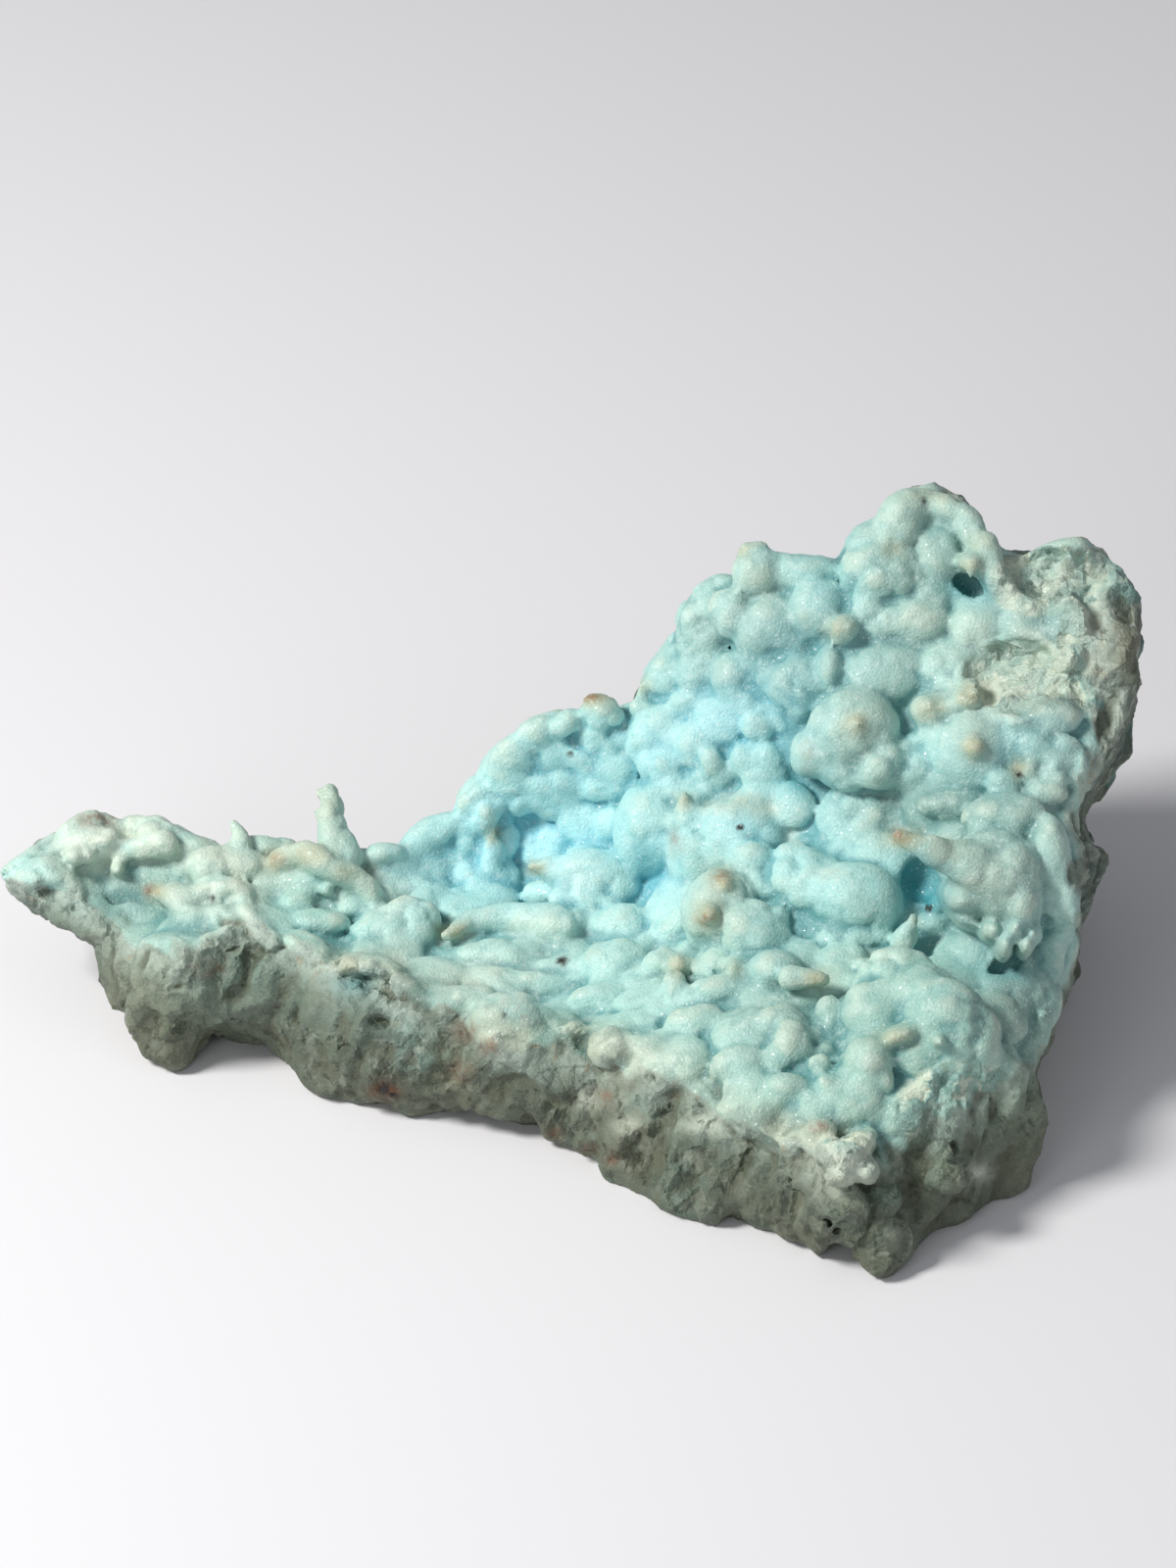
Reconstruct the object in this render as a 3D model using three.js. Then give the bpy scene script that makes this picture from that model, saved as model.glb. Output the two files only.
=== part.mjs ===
// Blue aragonite: a cabinet specimen of knobbly blue cave crust on the thicker grey-green mass that
// it grew from, broken off along its front, right side and back. It grew as one piece, so it is one solid.
// Millimetres, +Z up, +X to the right, and the broken front edge towards -Y. The origin is under the
// middle of the stone, on the surface that it rests on.
import * as THREE from "three";

// The crust is laid out as the eye sees it from the front and above. Across and up are read on a plane
// square to the line of sight, and depth is measured from that plane towards the eye.
const SIGHT_RISE = THREE.MathUtils.degToRad(35);
const EYE_DISTANCE = 900;
const EYE_UP = 75;
const ORIGIN_X = -2.6;
const ORIGIN_Y = 57.2;

// The part of the sight plane that the face and the outline are worked out on, and the step between.
const FIELD = { left: -100, right: 96, bottom: -10, top: 130, step: 1 };

// The room that the stone is worked out in, and the step between its sample points. The lowest layer
// of points is the table.
const ROOM = { left: -96, front: -65, width: 192, length: 130, height: 84, step: 1.4 };

// How many flat faces the finished solid has.
const TRIANGLES = 9800;

// How far one form runs into the next, as the crust does where lumps grow together.
const BLEND = { edge: 2.6, lump: 0.08, spine: 0.8, hollow: 0.8 };

// The broken outline of the mass, across and up, from the tip of the left wing along the top to the
// right, and back along the foot.
const OUTLINE = [
  [-90.5, 60.5], [-86, 63], [-81, 67], [-75, 69.5], [-71, 69], [-66, 68.5], [-62, 66], [-58, 64.8],
  [-50, 65], [-42, 64.8], [-35, 64.5], [-29, 63.5], [-27.5, 65], [-23, 69], [-19.5, 70], [-18.5, 72.5],
  [-15, 76], [-12.8, 80], [-9, 82.8], [-4, 84.8], [0, 86.5], [5, 85], [7, 86], [8, 88.5], [10, 92],
  [14, 95], [15, 100], [18, 104], [23, 106], [24, 109], [29, 108.5], [38, 109.5], [42, 113], [46, 115],
  [49, 118.5], [53, 120], [57, 117], [60, 113], [62.5, 109.5], [68, 109.3], [72, 110.5], [76, 112],
  [78.5, 109], [81, 107.5], [82.5, 104], [83.2, 98], [84, 91], [83, 86], [81.5, 80.5], [79, 78],
  [78, 75.5], [76, 72.5], [74.7, 70], [76.5, 66], [78, 62], [78.8, 59], [75.5, 55], [74.5, 51.5],
  [75.5, 49], [76.6, 45.5], [74, 42], [72.5, 38.5], [71, 35.5], [68.5, 33.5], [67.6, 31], [68.5, 28],
  [69.2, 25.5], [68.5, 22], [68, 15.5], [65, 12], [63.5, 10], [58, 7.5], [52, 5], [48, 2], [45, -0.8],
  [42.5, -0.3], [40, 1.5], [38.5, 2.8], [35, 2.7], [32.5, 4.3], [26, 6.3], [21.5, 8.2], [19, 7.2],
  [14, 9.2], [10, 11.8], [6, 13], [3.5, 14.5], [1.5, 18], [-1.5, 19], [-4, 21], [-8, 22], [-13, 23.3],
  [-17, 23.8], [-20, 25], [-25, 25], [-30, 26], [-36, 26.2], [-40, 27.2], [-45, 29.2], [-48, 32],
  [-50, 34.5], [-54, 36], [-57.5, 37.5], [-60, 35], [-60.8, 33.5], [-62, 33], [-67.5, 33.8],
  [-70.8, 35], [-72, 38], [-74, 40], [-74.2, 45], [-74.8, 50.2], [-78, 52], [-82, 53.8], [-84.5, 54.2],
  [-87, 56.5], [-90.5, 57.8],
];

// The general form of the face between its lumps: across, up, and the height above the table there.
const FACE = [
  // foot of the broken front and right sides
  [45, -3, 0], [30, 3, 0], [15, 8, 1], [0, 17, 1], [-20, 23, 1], [-40, 27, 2], [-55, 35, 4],
  [-66, 32, 2], [-77, 44, 12], [-90, 58, 20], [56, 4, 0], [67, 14, 3], [71, 26, 11],
  // rim where the break meets the crust
  [36, 15, 15], [26, 22, 17], [12, 31, 20], [0, 35, 18], [-12, 38, 19], [-26, 42, 19], [-40, 47, 21],
  [-52, 51, 21], [-64, 50, 21], [-76, 54, 20], [-88, 61, 24],
  // left wing
  [-75, 61, 21], [-76, 69, 27], [-66, 56, 18], [-60, 65, 25], [-48, 58, 20], [-44, 66, 25], [-41, 60, 22.5],
  [-38, 53, 18], [-32, 63, 23],
  // floor of the basin and the wall behind it
  [-25, 60, 18], [-11, 61, 18], [-20, 50, 17], [-5, 50, 17], [-8, 43, 17], [5, 40, 19], [9, 57, 21],
  [-1, 67, 23], [-24, 69, 26], [-15, 75, 32], [-8, 81, 38], [2, 85, 42], [5, 77, 34],
  // mound
  [13, 77, 37], [22, 71, 34], [13, 90, 47], [22, 84, 45], [24, 95, 55], [18, 102, 59], [32, 100, 60],
  [42, 96, 59], [42, 109, 69], [50, 103, 64], [53, 118, 76], [62, 107, 69], [72, 109, 71], [79, 107, 69],
  [60, 98, 61], [70, 97, 62], [79, 96, 63], [84, 90, 58], [67, 87, 57], [76, 83, 54], [82, 79, 52],
  [31, 82, 45], [46, 72, 41], [38, 68, 36], [56, 79, 49], [66, 75, 48], [75, 70, 45], [50, 65, 37],
  [63, 61, 38], [75, 60, 41], [81, 58, 41],
  // lower right
  [20, 60, 28], [30, 56, 28], [40, 54, 29.5], [52, 54, 27.5], [24, 44, 25], [34, 42, 24.5], [15, 38, 22],
  [44, 32, 24.5], [57, 31, 24], [59, 46, 26], [67, 40, 23], [72, 50, 29], [76, 38, 20], [46, 22, 17],
  [57, 17, 13.5], [65, 22, 13.5], [30, 30, 23],
];

// Lumps of the crust: across, up, half width, half height, turn in degrees, and how far the summit
// stands proud of the face towards the eye.
const LUMPS = [
  // top of the mound
  [26, 107.6, 3.5, 4, 0, 5.5], [19, 100, 4.8, 6.8, -28, 3], [22, 101, 3.3, 3.9, 0, 5.5],
  [28, 99, 5.5, 4.5, 20, 5], [35.5, 101.5, 4.4, 4.7, 0, 5], [39, 98.5, 2.4, 2.3, 0, 6],
  [42.6, 100.3, 3, 3.8, 0, 3.2], [33, 107, 6, 2.8, 0, 3], [45.5, 107.3, 6.4, 4.9, -8, 5],
  [43, 112, 3, 2, 20, 3], [48, 115.3, 3.5, 4.6, -25, 5],
  [54.4, 113.6, 5.6, 4, -20, 1.6], [53.5, 109.8, 3.1, 4.2, 0, 4],
  [52.4, 104, 3.3, 3, 0, 3.5], [50, 99.3, 5.6, 4.3, 0, 4], [45, 99.5, 3.4, 3.8, 0, 3.4],
  [60, 99, 4.2, 3.4, 0, 4], [67, 99.5, 4.8, 4.4, 0, 3], [74, 98.5, 3.6, 4.6, 20, 3],
  [73.5, 94.3, 2.5, 2, 0, 3.5], [60.6, 111.8, 1.7, 1.6, 0, 4.5], [58.6, 109, 2.2, 1.5, 0, 6],
  // shoulder of the mound
  [33, 90.3, 5, 4.8, 0, 4.5], [37, 92.5, 2, 3.6, 0, 5], [45.5, 91.8, 6.4, 4.7, 0, 4],
  [31, 96.6, 3.6, 2.3, 0, 3.5], [27.6, 92.8, 1.9, 2.6, 0, 3], [22.4, 90.8, 3.2, 3.5, 0, 3.6],
  [17.4, 92.2, 3.6, 2.7, 22, 3.4], [12.6, 91.6, 3.9, 3.1, 35, 3], [16, 88, 3.6, 2.1, 18, 3],
  [8.4, 86.7, 1.9, 1.3, 0, 2.5], [25.4, 87.6, 4, 3.4, 0, 2.4], [26, 84.2, 2.3, 2.7, 0, 3],
  [11, 83.6, 5.2, 3.3, 38, 3.4], [7.4, 82.6, 3, 1.9, 52, 2.4], [17.6, 80.8, 4, 4.3, 0, 3.6],
  [18.8, 78.4, 2.1, 2.5, 0, 4.4], [12, 77.9, 4.4, 2.9, 5, 3.2], [23.8, 78.7, 2.1, 2.7, 0, 2.8],
  [27.2, 79, 2.5, 2.7, 0, 2.8], [6.6, 77.4, 2, 2.3, 0, 2], [20, 73.8, 3.5, 2.5, 0, 2.4],
  [28, 73.6, 5, 2.3, 0, 2.2], [20.6, 76.8, 4.4, 2.8, 0, 2.6], [27, 76.4, 4, 2.2, 0, 2.4],
  [14, 74.6, 4.4, 2.4, 0, 2], [50, 77, 4.4, 3.4, 0, 2.6],
  // the big hanging knob and its nipple
  [40.8, 83, 6.3, 6.3, 0, 9], [35.8, 80, 4.6, 3.8, 25, 8], [40.6, 77.6, 5.4, 3.5, 0, 6.5],
  [44.8, 77.8, 3.9, 3.6, 30, 6.8], [41, 84.2, 1.5, 1.7, 0, 10.2], [50, 80.4, 3.4, 2.2, 8, 2],
  // back wall of the basin
  [-10, 76.5, 8.5, 5.5, 40, 1.6], [1.6, 75, 3, 2.5, 0, 3], [-2.4, 70.6, 2.4, 3.7, 0, 2.6],
  [0.4, 68.8, 4.4, 4.4, 0, 3], [4.6, 68.6, 3.5, 3.1, 0, 3.6], [10.2, 68.6, 5.6, 7.2, -14, 6.5],
  [2.1, 85.9, 3.2, 2.5, -25, 4], [-3.2, 84.3, 2.8, 1.7, 25, 3], [0, 79.6, 5.6, 2.6, 0, 2.4],
  [-18.4, 71.8, 1.5, 1.7, 0, 2], [-16.1, 69.9, 2.2, 2.9, -22, 4], [-22, 64.2, 7, 3.4, 6, 1.4],
  [-23.6, 67.4, 4.8, 2.4, 28, 2.4],
  // floor of the basin
  [1.6, 59.9, 6.5, 4.7, -20, 7], [1.2, 63.3, 4.4, 2.1, -10, 4.9], [-4.4, 52.8, 4.6, 3.8, 0, 4.2],
  [-17.3, 55.3, 4.4, 2.2, 8, 2.8], [-25, 57.4, 3.2, 2.7, 0, 3.6], [-27, 52.6, 4.2, 4.7, 0, 4.4],
  [-31.6, 51.6, 5.5, 3.8, 32, 2.8], [-31, 57.4, 1.7, 1.9, 0, 1.8], [-14, 47.8, 6.6, 3.1, 0, 2.1],
  [-5.6, 46.9, 3.5, 1.6, 0, 2.1], [-19.6, 42, 4.8, 2.2, 8, 2.8], [-11.4, 38.6, 5.8, 3.9, -6, 3.5],
  [-7.6, 44, 5, 2.2, 0, 1.8], [1.6, 42, 4.2, 2.3, 8, 2], [5, 52, 5, 3.8, 35, 2.5],
  [4.8, 46.6, 5.6, 4.3, 0, 2.5], [0.6, 56.6, 6.2, 3, -12, 5], [-6.6, 57.8, 3.4, 2.2, 0, 2.2],
  // lip of the crust over the broken front, and knobs along it
  [-35.6, 47.4, 3.6, 1.7, 12, 3], [-31, 46.2, 4, 1.9, -24, 3.4], [-27, 43, 3.6, 1.9, -44, 3],
  [11.4, 47.2, 2.8, 2.4, 0, 3], [13.9, 47.2, 1.8, 1.9, 0, 4], [13.2, 42, 2.1, 4.2, 0, 2],
  [19.4, 42.8, 5, 2.5, 14, 1.8], [22.4, 46.4, 1.5, 1.7, 0, 3.5], [17, 38, 4.6, 3, 0, 1.8],
  [3.8, 34.6, 3.4, 2.9, 0, 5], [10.2, 33.4, 4, 2.6, -32, 2], [-1.5, 37, 2.4, 1.6, 0, 2.1],
  // shell, saddle and twin-knob hill
  [16.8, 65.4, 4.6, 7.8, 8, 5], [23.6, 66.4, 6.6, 6.6, -20, 5], [25, 62.8, 3.6, 3.4, 0, 5],
  [31.8, 61.4, 4.3, 4.2, 0, 4], [41, 57, 6.6, 5.4, -8, 5],
  [36.6, 61, 4.2, 2.2, -18, 3], [34.4, 58.4, 7, 5.2, -25, 4.2],
  [20.2, 55.2, 5.3, 6, 0, 7.5], [18.5, 55.2, 2.1, 2.2, 0, 11], [20.8, 59.6, 1.9, 2, 0, 10.4],
  [29, 55, 1.8, 1.7, 0, 5], [27.4, 58.8, 3.6, 3, 0, 3.4],
  [25.4, 52, 5.6, 4.4, -38, 5.6], [28.4, 46.4, 3.9, 3, 0, 6],
  [30, 37, 4.3, 3.6, -15, 3], [24.6, 36.8, 5, 3, 12, 2], [31, 35, 3, 3.2, 0, 4],
  [24, 31.4, 4.7, 3.3, 0, 2], [37, 37.6, 2.3, 4.4, 0, 1.8], [35.4, 31.6, 1.6, 1.8, 0, 2],
  [36.4, 29, 1.5, 1.6, 0, 2], [30.4, 28.4, 3, 2.1, 0, 1.8],
  // the broad green lump and the near corner
  [47.4, 43.6, 6.2, 5.6, -10, 7], [44.4, 39.4, 5.4, 5, 0, 5.5], [55.6, 36.4, 6.2, 8.2, 30, 7],
  [50.6, 40.4, 7, 6.4, -20, 6.8],
  [42, 46.8, 1.9, 1.6, 0, 2], [47.6, 36.6, 3.2, 1.6, 22, 7.5], [43, 33, 3.3, 2.9, 0, 5],
  [53.6, 35.8, 1.3, 1.2, 0, 8.5], [48.2, 23.6, 3.8, 5, -35, 2.5], [40, 25.4, 6.8, 5.6, 0, 1.8],
  [37.2, 18.6, 2.2, 2.2, 0, 6.8], [41, 19.4, 2.1, 1.8, 0, 7.2], [42.6, 15.9, 1.9, 1.5, 0, 7.6],
  [38.4, 15.4, 2.3, 1.8, 0, 7], [39.8, 17.4, 2.8, 2.6, 0, 7.6], [42.4, 20.6, 1.8, 1.8, 0, 4.5],
  [35.6, 21.8, 2.4, 1.7, 0, 2.5], [63.4, 30, 3, 5.2, 10, 2], [67, 25.8, 2.1, 3.2, 0, 1.8],
  [54.4, 14.4, 3.2, 2.2, 0, 3.4],
  [45.4, 11.4, 2.6, 2.1, 0, 1.8], [45.4, 6.8, 2, 1.8, 0, 0.8],
  // the spiked head on the right
  [64, 60.6, 5.2, 6.2, 0, 11], [62.4, 65, 4.6, 2.9, -10, 10], [58.6, 58.4, 4.4, 3.7, 20, 12],
  [66, 57, 3.2, 4.6, 0, 10.5], [61.6, 52.8, 1.9, 2, 0, 11], [63.4, 50.4, 1.4, 2.6, 0, 11],
  [65, 53, 1.9, 1.9, 0, 11.5], [66.6, 50.4, 1.3, 2.2, 0, 10.5], [67.6, 52.4, 1.6, 1.9, 0, 9.5],
  [57.8, 54.2, 2.9, 1.4, -20, 9.5], [53.5, 56.7, 1.6, 1.8, 0, 4], [53, 53.4, 2.6, 2.2, 0, 3],
  [64, 69.4, 6, 3.8, 0, 6], [56, 71.8, 5, 2.3, 0, 3.6], [70.6, 62.6, 3, 7, 0, 4],
  [70, 73.6, 3, 1.8, 0, 3],
  // knobs between the head and the mound
  [52.6, 86.3, 2.9, 2.5, 0, 5], [58, 88.4, 2.4, 2.2, 0, 5.5], [55.6, 87, 3, 2, 18, 4],
  [59, 80.6, 2.1, 2.3, 0, 6.4], [59.6, 79.4, 6, 6, 0, 4], [66, 84.4, 1.9, 1.1, 0, 3],
  [71, 85.4, 4.2, 3, 0, 2.6], [71.4, 76.8, 1.9, 3.2, 0, 2.8], [67.6, 76.8, 1.8, 3, 0, 2],
  [63.8, 75, 2.6, 2, 0, 3], [56, 93, 3, 2.2, 0, 1.6],
  // left wing
  [-76, 66, 5, 2.5, 6, 4], [-78.6, 64, 1.5, 1.3, 0, 4.5], [-76.2, 64.2, 1.4, 1.3, 0, 5],
  [-64.8, 65.5, 2, 1.7, 0, 4.6], [-71.9, 61.9, 1.2, 1.3, 0, 4.5], [-66, 67.8, 3.2, 1.4, 0, 2.4],
  [-58, 62, 3.2, 3.2, 0, 5], [-55.4, 58.6, 4.2, 1.9, -5, 5], [-57.8, 57.4, 4, 2.2, 0, 3.4],
  [-57, 54.2, 4.8, 2.6, 0, 1.8], [-49.6, 60.4, 4.6, 3, 0, 2.6],
  [-42.6, 59.8, 5, 2.4, 0, 1.8], [-36.6, 57.6, 3.4, 2.4, 0, 2], [-54, 62.6, 4.5, 2.8, 0, 4],
  [-31.6, 64.2, 3.2, 1.6, 6, 2.4], [-44.6, 57, 2.5, 1.6, 0, 2.4], [-36, 56, 2.4, 1.6, 0, 2.2],
  [-40, 58.8, 1.1, 1, 0, 2.6], [-42, 53.6, 5, 2.2, 0, 2],
];

// Spikes, horns and thin ridges, each a path of stations: across, up, proud of the face, and radius.
const SPINES = [
  // big spike of the head on the right
  [[61, 61.4, 9, 4.1], [54.5, 63.9, 14, 2.7], [47.9, 66.9, 18, 1.4]],
  [[58, 65, 11, 1.6], [53, 66.6, 13.5, 0.9]],
  // curved horn in the basin, and the beak of the lump behind it
  [[-4, 52.8, 3, 3.6], [-11, 54.4, 3.6, 2.6], [-17, 54, 3.8, 2.2], [-21.7, 51.8, 3.8, 0.9]],
  [[0, 60.6, 3.4, 3.8], [-5, 61.8, 5, 2.4], [-8.4, 62.4, 6, 0.8]],
  // small teeth
  [[-15, 62.4, 1.6, 2.5], [-14.8, 65.4, 2.4, 1.7], [-14.4, 68.2, 3, 0.6]],
  [[31, 45.4, 6, 2], [36, 45.1, 7, 1.2]],
  [[64.6, 78.8, 4, 1.6], [66.6, 77.2, 5, 0.7]],
  [[48.4, 50.6, 1.6, 2.2], [49.9, 54.8, 3, 0.8]],
  [[14.6, 70.4, 5, 1.4], [14.9, 72.9, 5.4, 1.1]],
  [[7.8, 87.4, 0.5, 1.3], [8.2, 90.2, 1, 0.8]],
  [[0.4, 86.6, 2, 1.4], [-0.1, 87.8, 2, 0.9]],
  [[24.4, 108.6, 2.5, 1.5], [24, 111.2, 3, 0.7]],
  [[58.8, 108.4, 5, 1.2], [58.5, 107, 5.6, 0.5]],
  // arch on the summit
  [[46.4, 112, 1, 3], [48.6, 116.4, 1, 2.7], [52.6, 117.8, 1, 2.4], [57.4, 115.6, 1.6, 2.3],
    [60.6, 111, 2, 2.4], [62, 107, 1.6, 2.4], [64, 103.4, 0.4, 2.4]],
  // left wing: tall spike, small spike, finger, beige horn, arm with its leg, and blade
  [[-38.2, 63.6, 0, 3.9], [-39, 68, 0.5, 2.6], [-39.3, 72, 1, 2.1], [-39.7, 73.8, 1, 1.5]],
  [[-40, 72.8, 1, 1.1], [-41.4, 73.6, 1, 0.8]], [[-40.4, 70, 1, 1.1], [-41.7, 70.8, 1, 0.7]],
  [[-53.6, 64.2, 1, 2.3], [-53.2, 66.8, 1.2, 1.5], [-54.2, 68.8, 1.2, 0.8]],
  [[-61, 55, 1, 2.4], [-63, 57.6, 3.6, 2.6], [-66.4, 58.4, 5.2, 1]],
  [[-71.4, 64.4, 2, 1.8], [-68, 65.6, 2.6, 2.2], [-64.8, 66.4, 2.4, 2]],
  [[-47.6, 63.2, 2.8, 1.7], [-43.6, 64.2, 3.4, 2.4], [-39, 62, 3.2, 2.2], [-34.6, 59.6, 2.6, 2.1],
    [-33, 56.8, 1.8, 1.9], [-32.6, 54, 0.4, 2]],
  [[-54.2, 58, 2, 1.5], [-52, 55.4, 1.8, 1.8], [-48.6, 51, 1, 1.6]],
];

// Hollows cut into the stone: across, up, half width, half height, turn, half depth, and the depth of
// the middle below the face.
const HOLLOWS = [
  [59, 105, 3.8, 1.9, -28, 3, 0.6], [51, 60.4, 3.2, 3.6, -35, 3, 0.4],
  [-31.6, 38.6, 1.5, 0.8, -12, 2.4, 0.5], [-43.4, 38.4, 3.6, 0.8, -40, 1.8, 0],
  [-34.4, 44.8, 3, 1.6, 0, 2, 0],
  [56, 19.4, 0.9, 1.3, 10, 2.4, 0.5], [63.6, 46.8, 3.4, 1.6, 30, 1.8, 0.2],
  [37.4, 7.6, 2.2, 0.6, -45, 1.4, 0], [-69, 57, 5, 3, 0, 1, 0],
];

// Plan of the broken back and ends, clockwise from the front left: x and y on the table, and x and y
// at the height PLAN_TOP.
const PLAN_TOP = 96;
const PLAN = [
  [-110, -20, -110, -20], [-104, 70, -104, 66], [-90, 88, -88, 80], [-74, 92, -70, 84],
  [-55, 88, -52, 82], [-34, 89, -32, 84], [-26, 95, -24, 88], [-12, 101, -10, 94], [2, 103, 4, 98],
  [14, 110, 16, 104], [31, 111, 32, 107], [48, 117, 48, 112], [64, 112, 64, 110], [76, 106, 82, 108],
  [82, 96, 91, 98], [83, 84, 94, 84], [80, 70, 92, 68], [75, 56, 86, 52], [71, 44, 84, 38],
  [74, -20, 84, -20],
];

// The wing overhangs: everything under a plane that rises to the left is broken away.
const UNDERCUT = { x: -69, z: 1, tilt: THREE.MathUtils.degToRad(36) };

// The blue crust on the sight plane. Outside it, and behind it, the stone is broken.
const CRUST = [
  [-96, 60], [-80, 60.3], [-76, 57.5], [-70, 54], [-69, 51], [-62, 50], [-58, 53], [-52.5, 56], [-50, 53.5],
  [-45, 51], [-39, 48], [-31, 47.5], [-28, 42], [-20, 41], [-15, 35], [-10, 34.5], [-4, 36], [0, 33.5],
  [15, 29], [20, 25], [31, 19.5], [45, 18], [50, 24], [58, 27], [66, 33], [73, 38], [75, 50], [73, 60],
  [74, 71], [77, 83], [75.5, 95], [78, 105], [76, 113], [60, 130], [-96, 130],
];

// Patches of the crust that are broken off: across, up, half width and half height.
const CHIPPED = [
  [71, 106, 9, 5], [66, 91.5, 8, 5.5], [76, 95, 4, 8], [39.6, 17.4, 5, 4.4], [58, 25, 10, 7],
];

// Between its named lumps the crust is all knobs that crowd each other: their spacing and height, the
// height left where the crust is smoother, and the places where it is full: across, up, half sizes.
const KNOBS = { spacing: 9.5, height: 4, least: 0.5 };
const KNOBBY = [
  [20, 84, 22, 18], [36, 98, 26, 14], [0, 76, 12, 12], [62, 90, 16, 14], [-22, 60, 9, 9], [55, 33, 14, 12],
  [-5, 60, 14, 6], [-55, 62, 9, 5],
];

// How much wider a lump is at its middle than where it meets its neighbours.
const SWELL = 1.18;

// The break is a patchwork of flat facets, smaller ones on larger ones: spacing and height of each size.
// They are turned away from the table.
const BREAK = [
  [12.5, 4], [5.6, 3],
];
const FACET_TURN = 0.62;

// From the sight frame to the stone's own frame.
function place(across, up, depth) {
  const shrink = (EYE_DISTANCE - depth) / EYE_DISTANCE;
  const rise = EYE_UP + (up - EYE_UP) * shrink;
  return new THREE.Vector3(
    across * shrink - ORIGIN_X,
    rise * Math.sin(SIGHT_RISE) - depth * Math.cos(SIGHT_RISE) - ORIGIN_Y,
    rise * Math.cos(SIGHT_RISE) + depth * Math.sin(SIGHT_RISE),
  );
}

// Depth at which a line of sight is a given height above the table.
function depthAtHeight(up, height) {
  const steep = Math.sin(SIGHT_RISE) - ((up - EYE_UP) * Math.cos(SIGHT_RISE)) / EYE_DISTANCE;
  return (height - up * Math.cos(SIGHT_RISE)) / steep;
}

// Gaussian elimination with row swaps.
function solve(matrix, right) {
  const n = right.length;
  const rows = matrix.map((row, i) => [...row, right[i]]);
  for (let c = 0; c < n; c++) {
    let best = c;
    for (let r = c + 1; r < n; r++) if (Math.abs(rows[r][c]) > Math.abs(rows[best][c])) best = r;
    [rows[c], rows[best]] = [rows[best], rows[c]];
    for (let r = c + 1; r < n; r++) {
      const share = rows[r][c] / rows[c][c];
      for (let k = c; k <= n; k++) rows[r][k] -= share * rows[c][k];
    }
  }
  const x = new Array(n).fill(0);
  for (let r = n - 1; r >= 0; r--) {
    let sum = rows[r][n];
    for (let k = r + 1; k < n; k++) sum -= rows[r][k] * x[k];
    x[r] = sum / rows[r][r];
  }
  return x;
}

// A thin-plate surface through the points of FACE gives the depth of the crust at (across, up).
function thinPlate(points) {
  const kernel = (r2) => (r2 > 0 ? 0.5 * r2 * Math.log(r2) : 0);
  const n = points.length;
  const matrix = [];
  for (const [x, y] of points) {
    matrix.push([...points.map(([px, py]) => kernel((x - px) ** 2 + (y - py) ** 2)), 1, x, y]);
  }
  for (const basis of [() => 1, ([x]) => x, ([, y]) => y]) matrix.push([...points.map(basis), 0, 0, 0]);
  const weights = solve(matrix, [...points.map((p) => p[2]), 0, 0, 0]);
  return (x, y) => {
    let depth = weights[n] + weights[n + 1] * x + weights[n + 2] * y;
    points.forEach(([px, py], i) => {
      depth += weights[i] * kernel((x - px) ** 2 + (y - py) ** 2);
    });
    return depth;
  };
}

// A function of (across, up), sampled over FIELD and read back between the samples.
function sampled(f) {
  const columns = Math.round((FIELD.right - FIELD.left) / FIELD.step);
  const rows = Math.round((FIELD.top - FIELD.bottom) / FIELD.step);
  const values = new Float64Array((columns + 1) * (rows + 1));
  for (let j = 0; j <= rows; j++) {
    for (let i = 0; i <= columns; i++) {
      values[j * (columns + 1) + i] = f(FIELD.left + i * FIELD.step, FIELD.bottom + j * FIELD.step);
    }
  }
  return (across, up) => {
    const x = THREE.MathUtils.clamp((across - FIELD.left) / FIELD.step, 0, columns - 1e-6);
    const y = THREE.MathUtils.clamp((up - FIELD.bottom) / FIELD.step, 0, rows - 1e-6);
    const k = Math.floor(y) * (columns + 1) + Math.floor(x);
    const u = x - Math.floor(x);
    const v = y - Math.floor(y);
    const near = values[k] * (1 - u) + values[k + 1] * u;
    const far = values[k + columns + 1] * (1 - u) + values[k + columns + 2] * u;
    return near * (1 - v) + far * v;
  };
}

// Distance from a point to a closed outline, negative inside it.
function distanceToOutline(points, x, y) {
  let nearest = Infinity;
  let inside = false;
  for (let i = 0, j = points.length - 1; i < points.length; j = i++) {
    const [ax, ay] = points[i];
    const [bx, by] = points[j];
    const ex = bx - ax;
    const ey = by - ay;
    const t = Math.min(Math.max(((x - ax) * ex + (y - ay) * ey) / (ex * ex + ey * ey), 0), 1);
    nearest = Math.min(nearest, (x - ax - t * ex) ** 2 + (y - ay - t * ey) ** 2);
    if (ay > y !== by > y && x < ax + ((y - ay) * ex) / ey) inside = !inside;
  }
  return inside ? -Math.sqrt(nearest) : Math.sqrt(nearest);
}

// The smaller or the larger of two distances, rounded off where they meet.
function softMin(a, b, k) {
  const h = Math.max(k - Math.abs(a - b), 0);
  return Math.min(a, b) - (h * h) / (4 * k);
}

function softMax(a, b, k) {
  return -softMin(-a, -b, k);
}

const face = thinPlate(FACE.map(([across, up, height]) => [across, up, depthAtHeight(up, height)]));
const faceDepth = sampled(face);
const faceSlope = sampled((x, y) => {
  const across = faceDepth(x + 1, y) - faceDepth(x - 1, y);
  const up = faceDepth(x, y + 1) - faceDepth(x, y - 1);
  return Math.hypot(2, across, up) / 2;
});
const outlineDistance = sampled((x, y) => distanceToOutline(OUTLINE, x, y));
const crustDistance = sampled((x, y) => distanceToOutline(CRUST, x, y));

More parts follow.
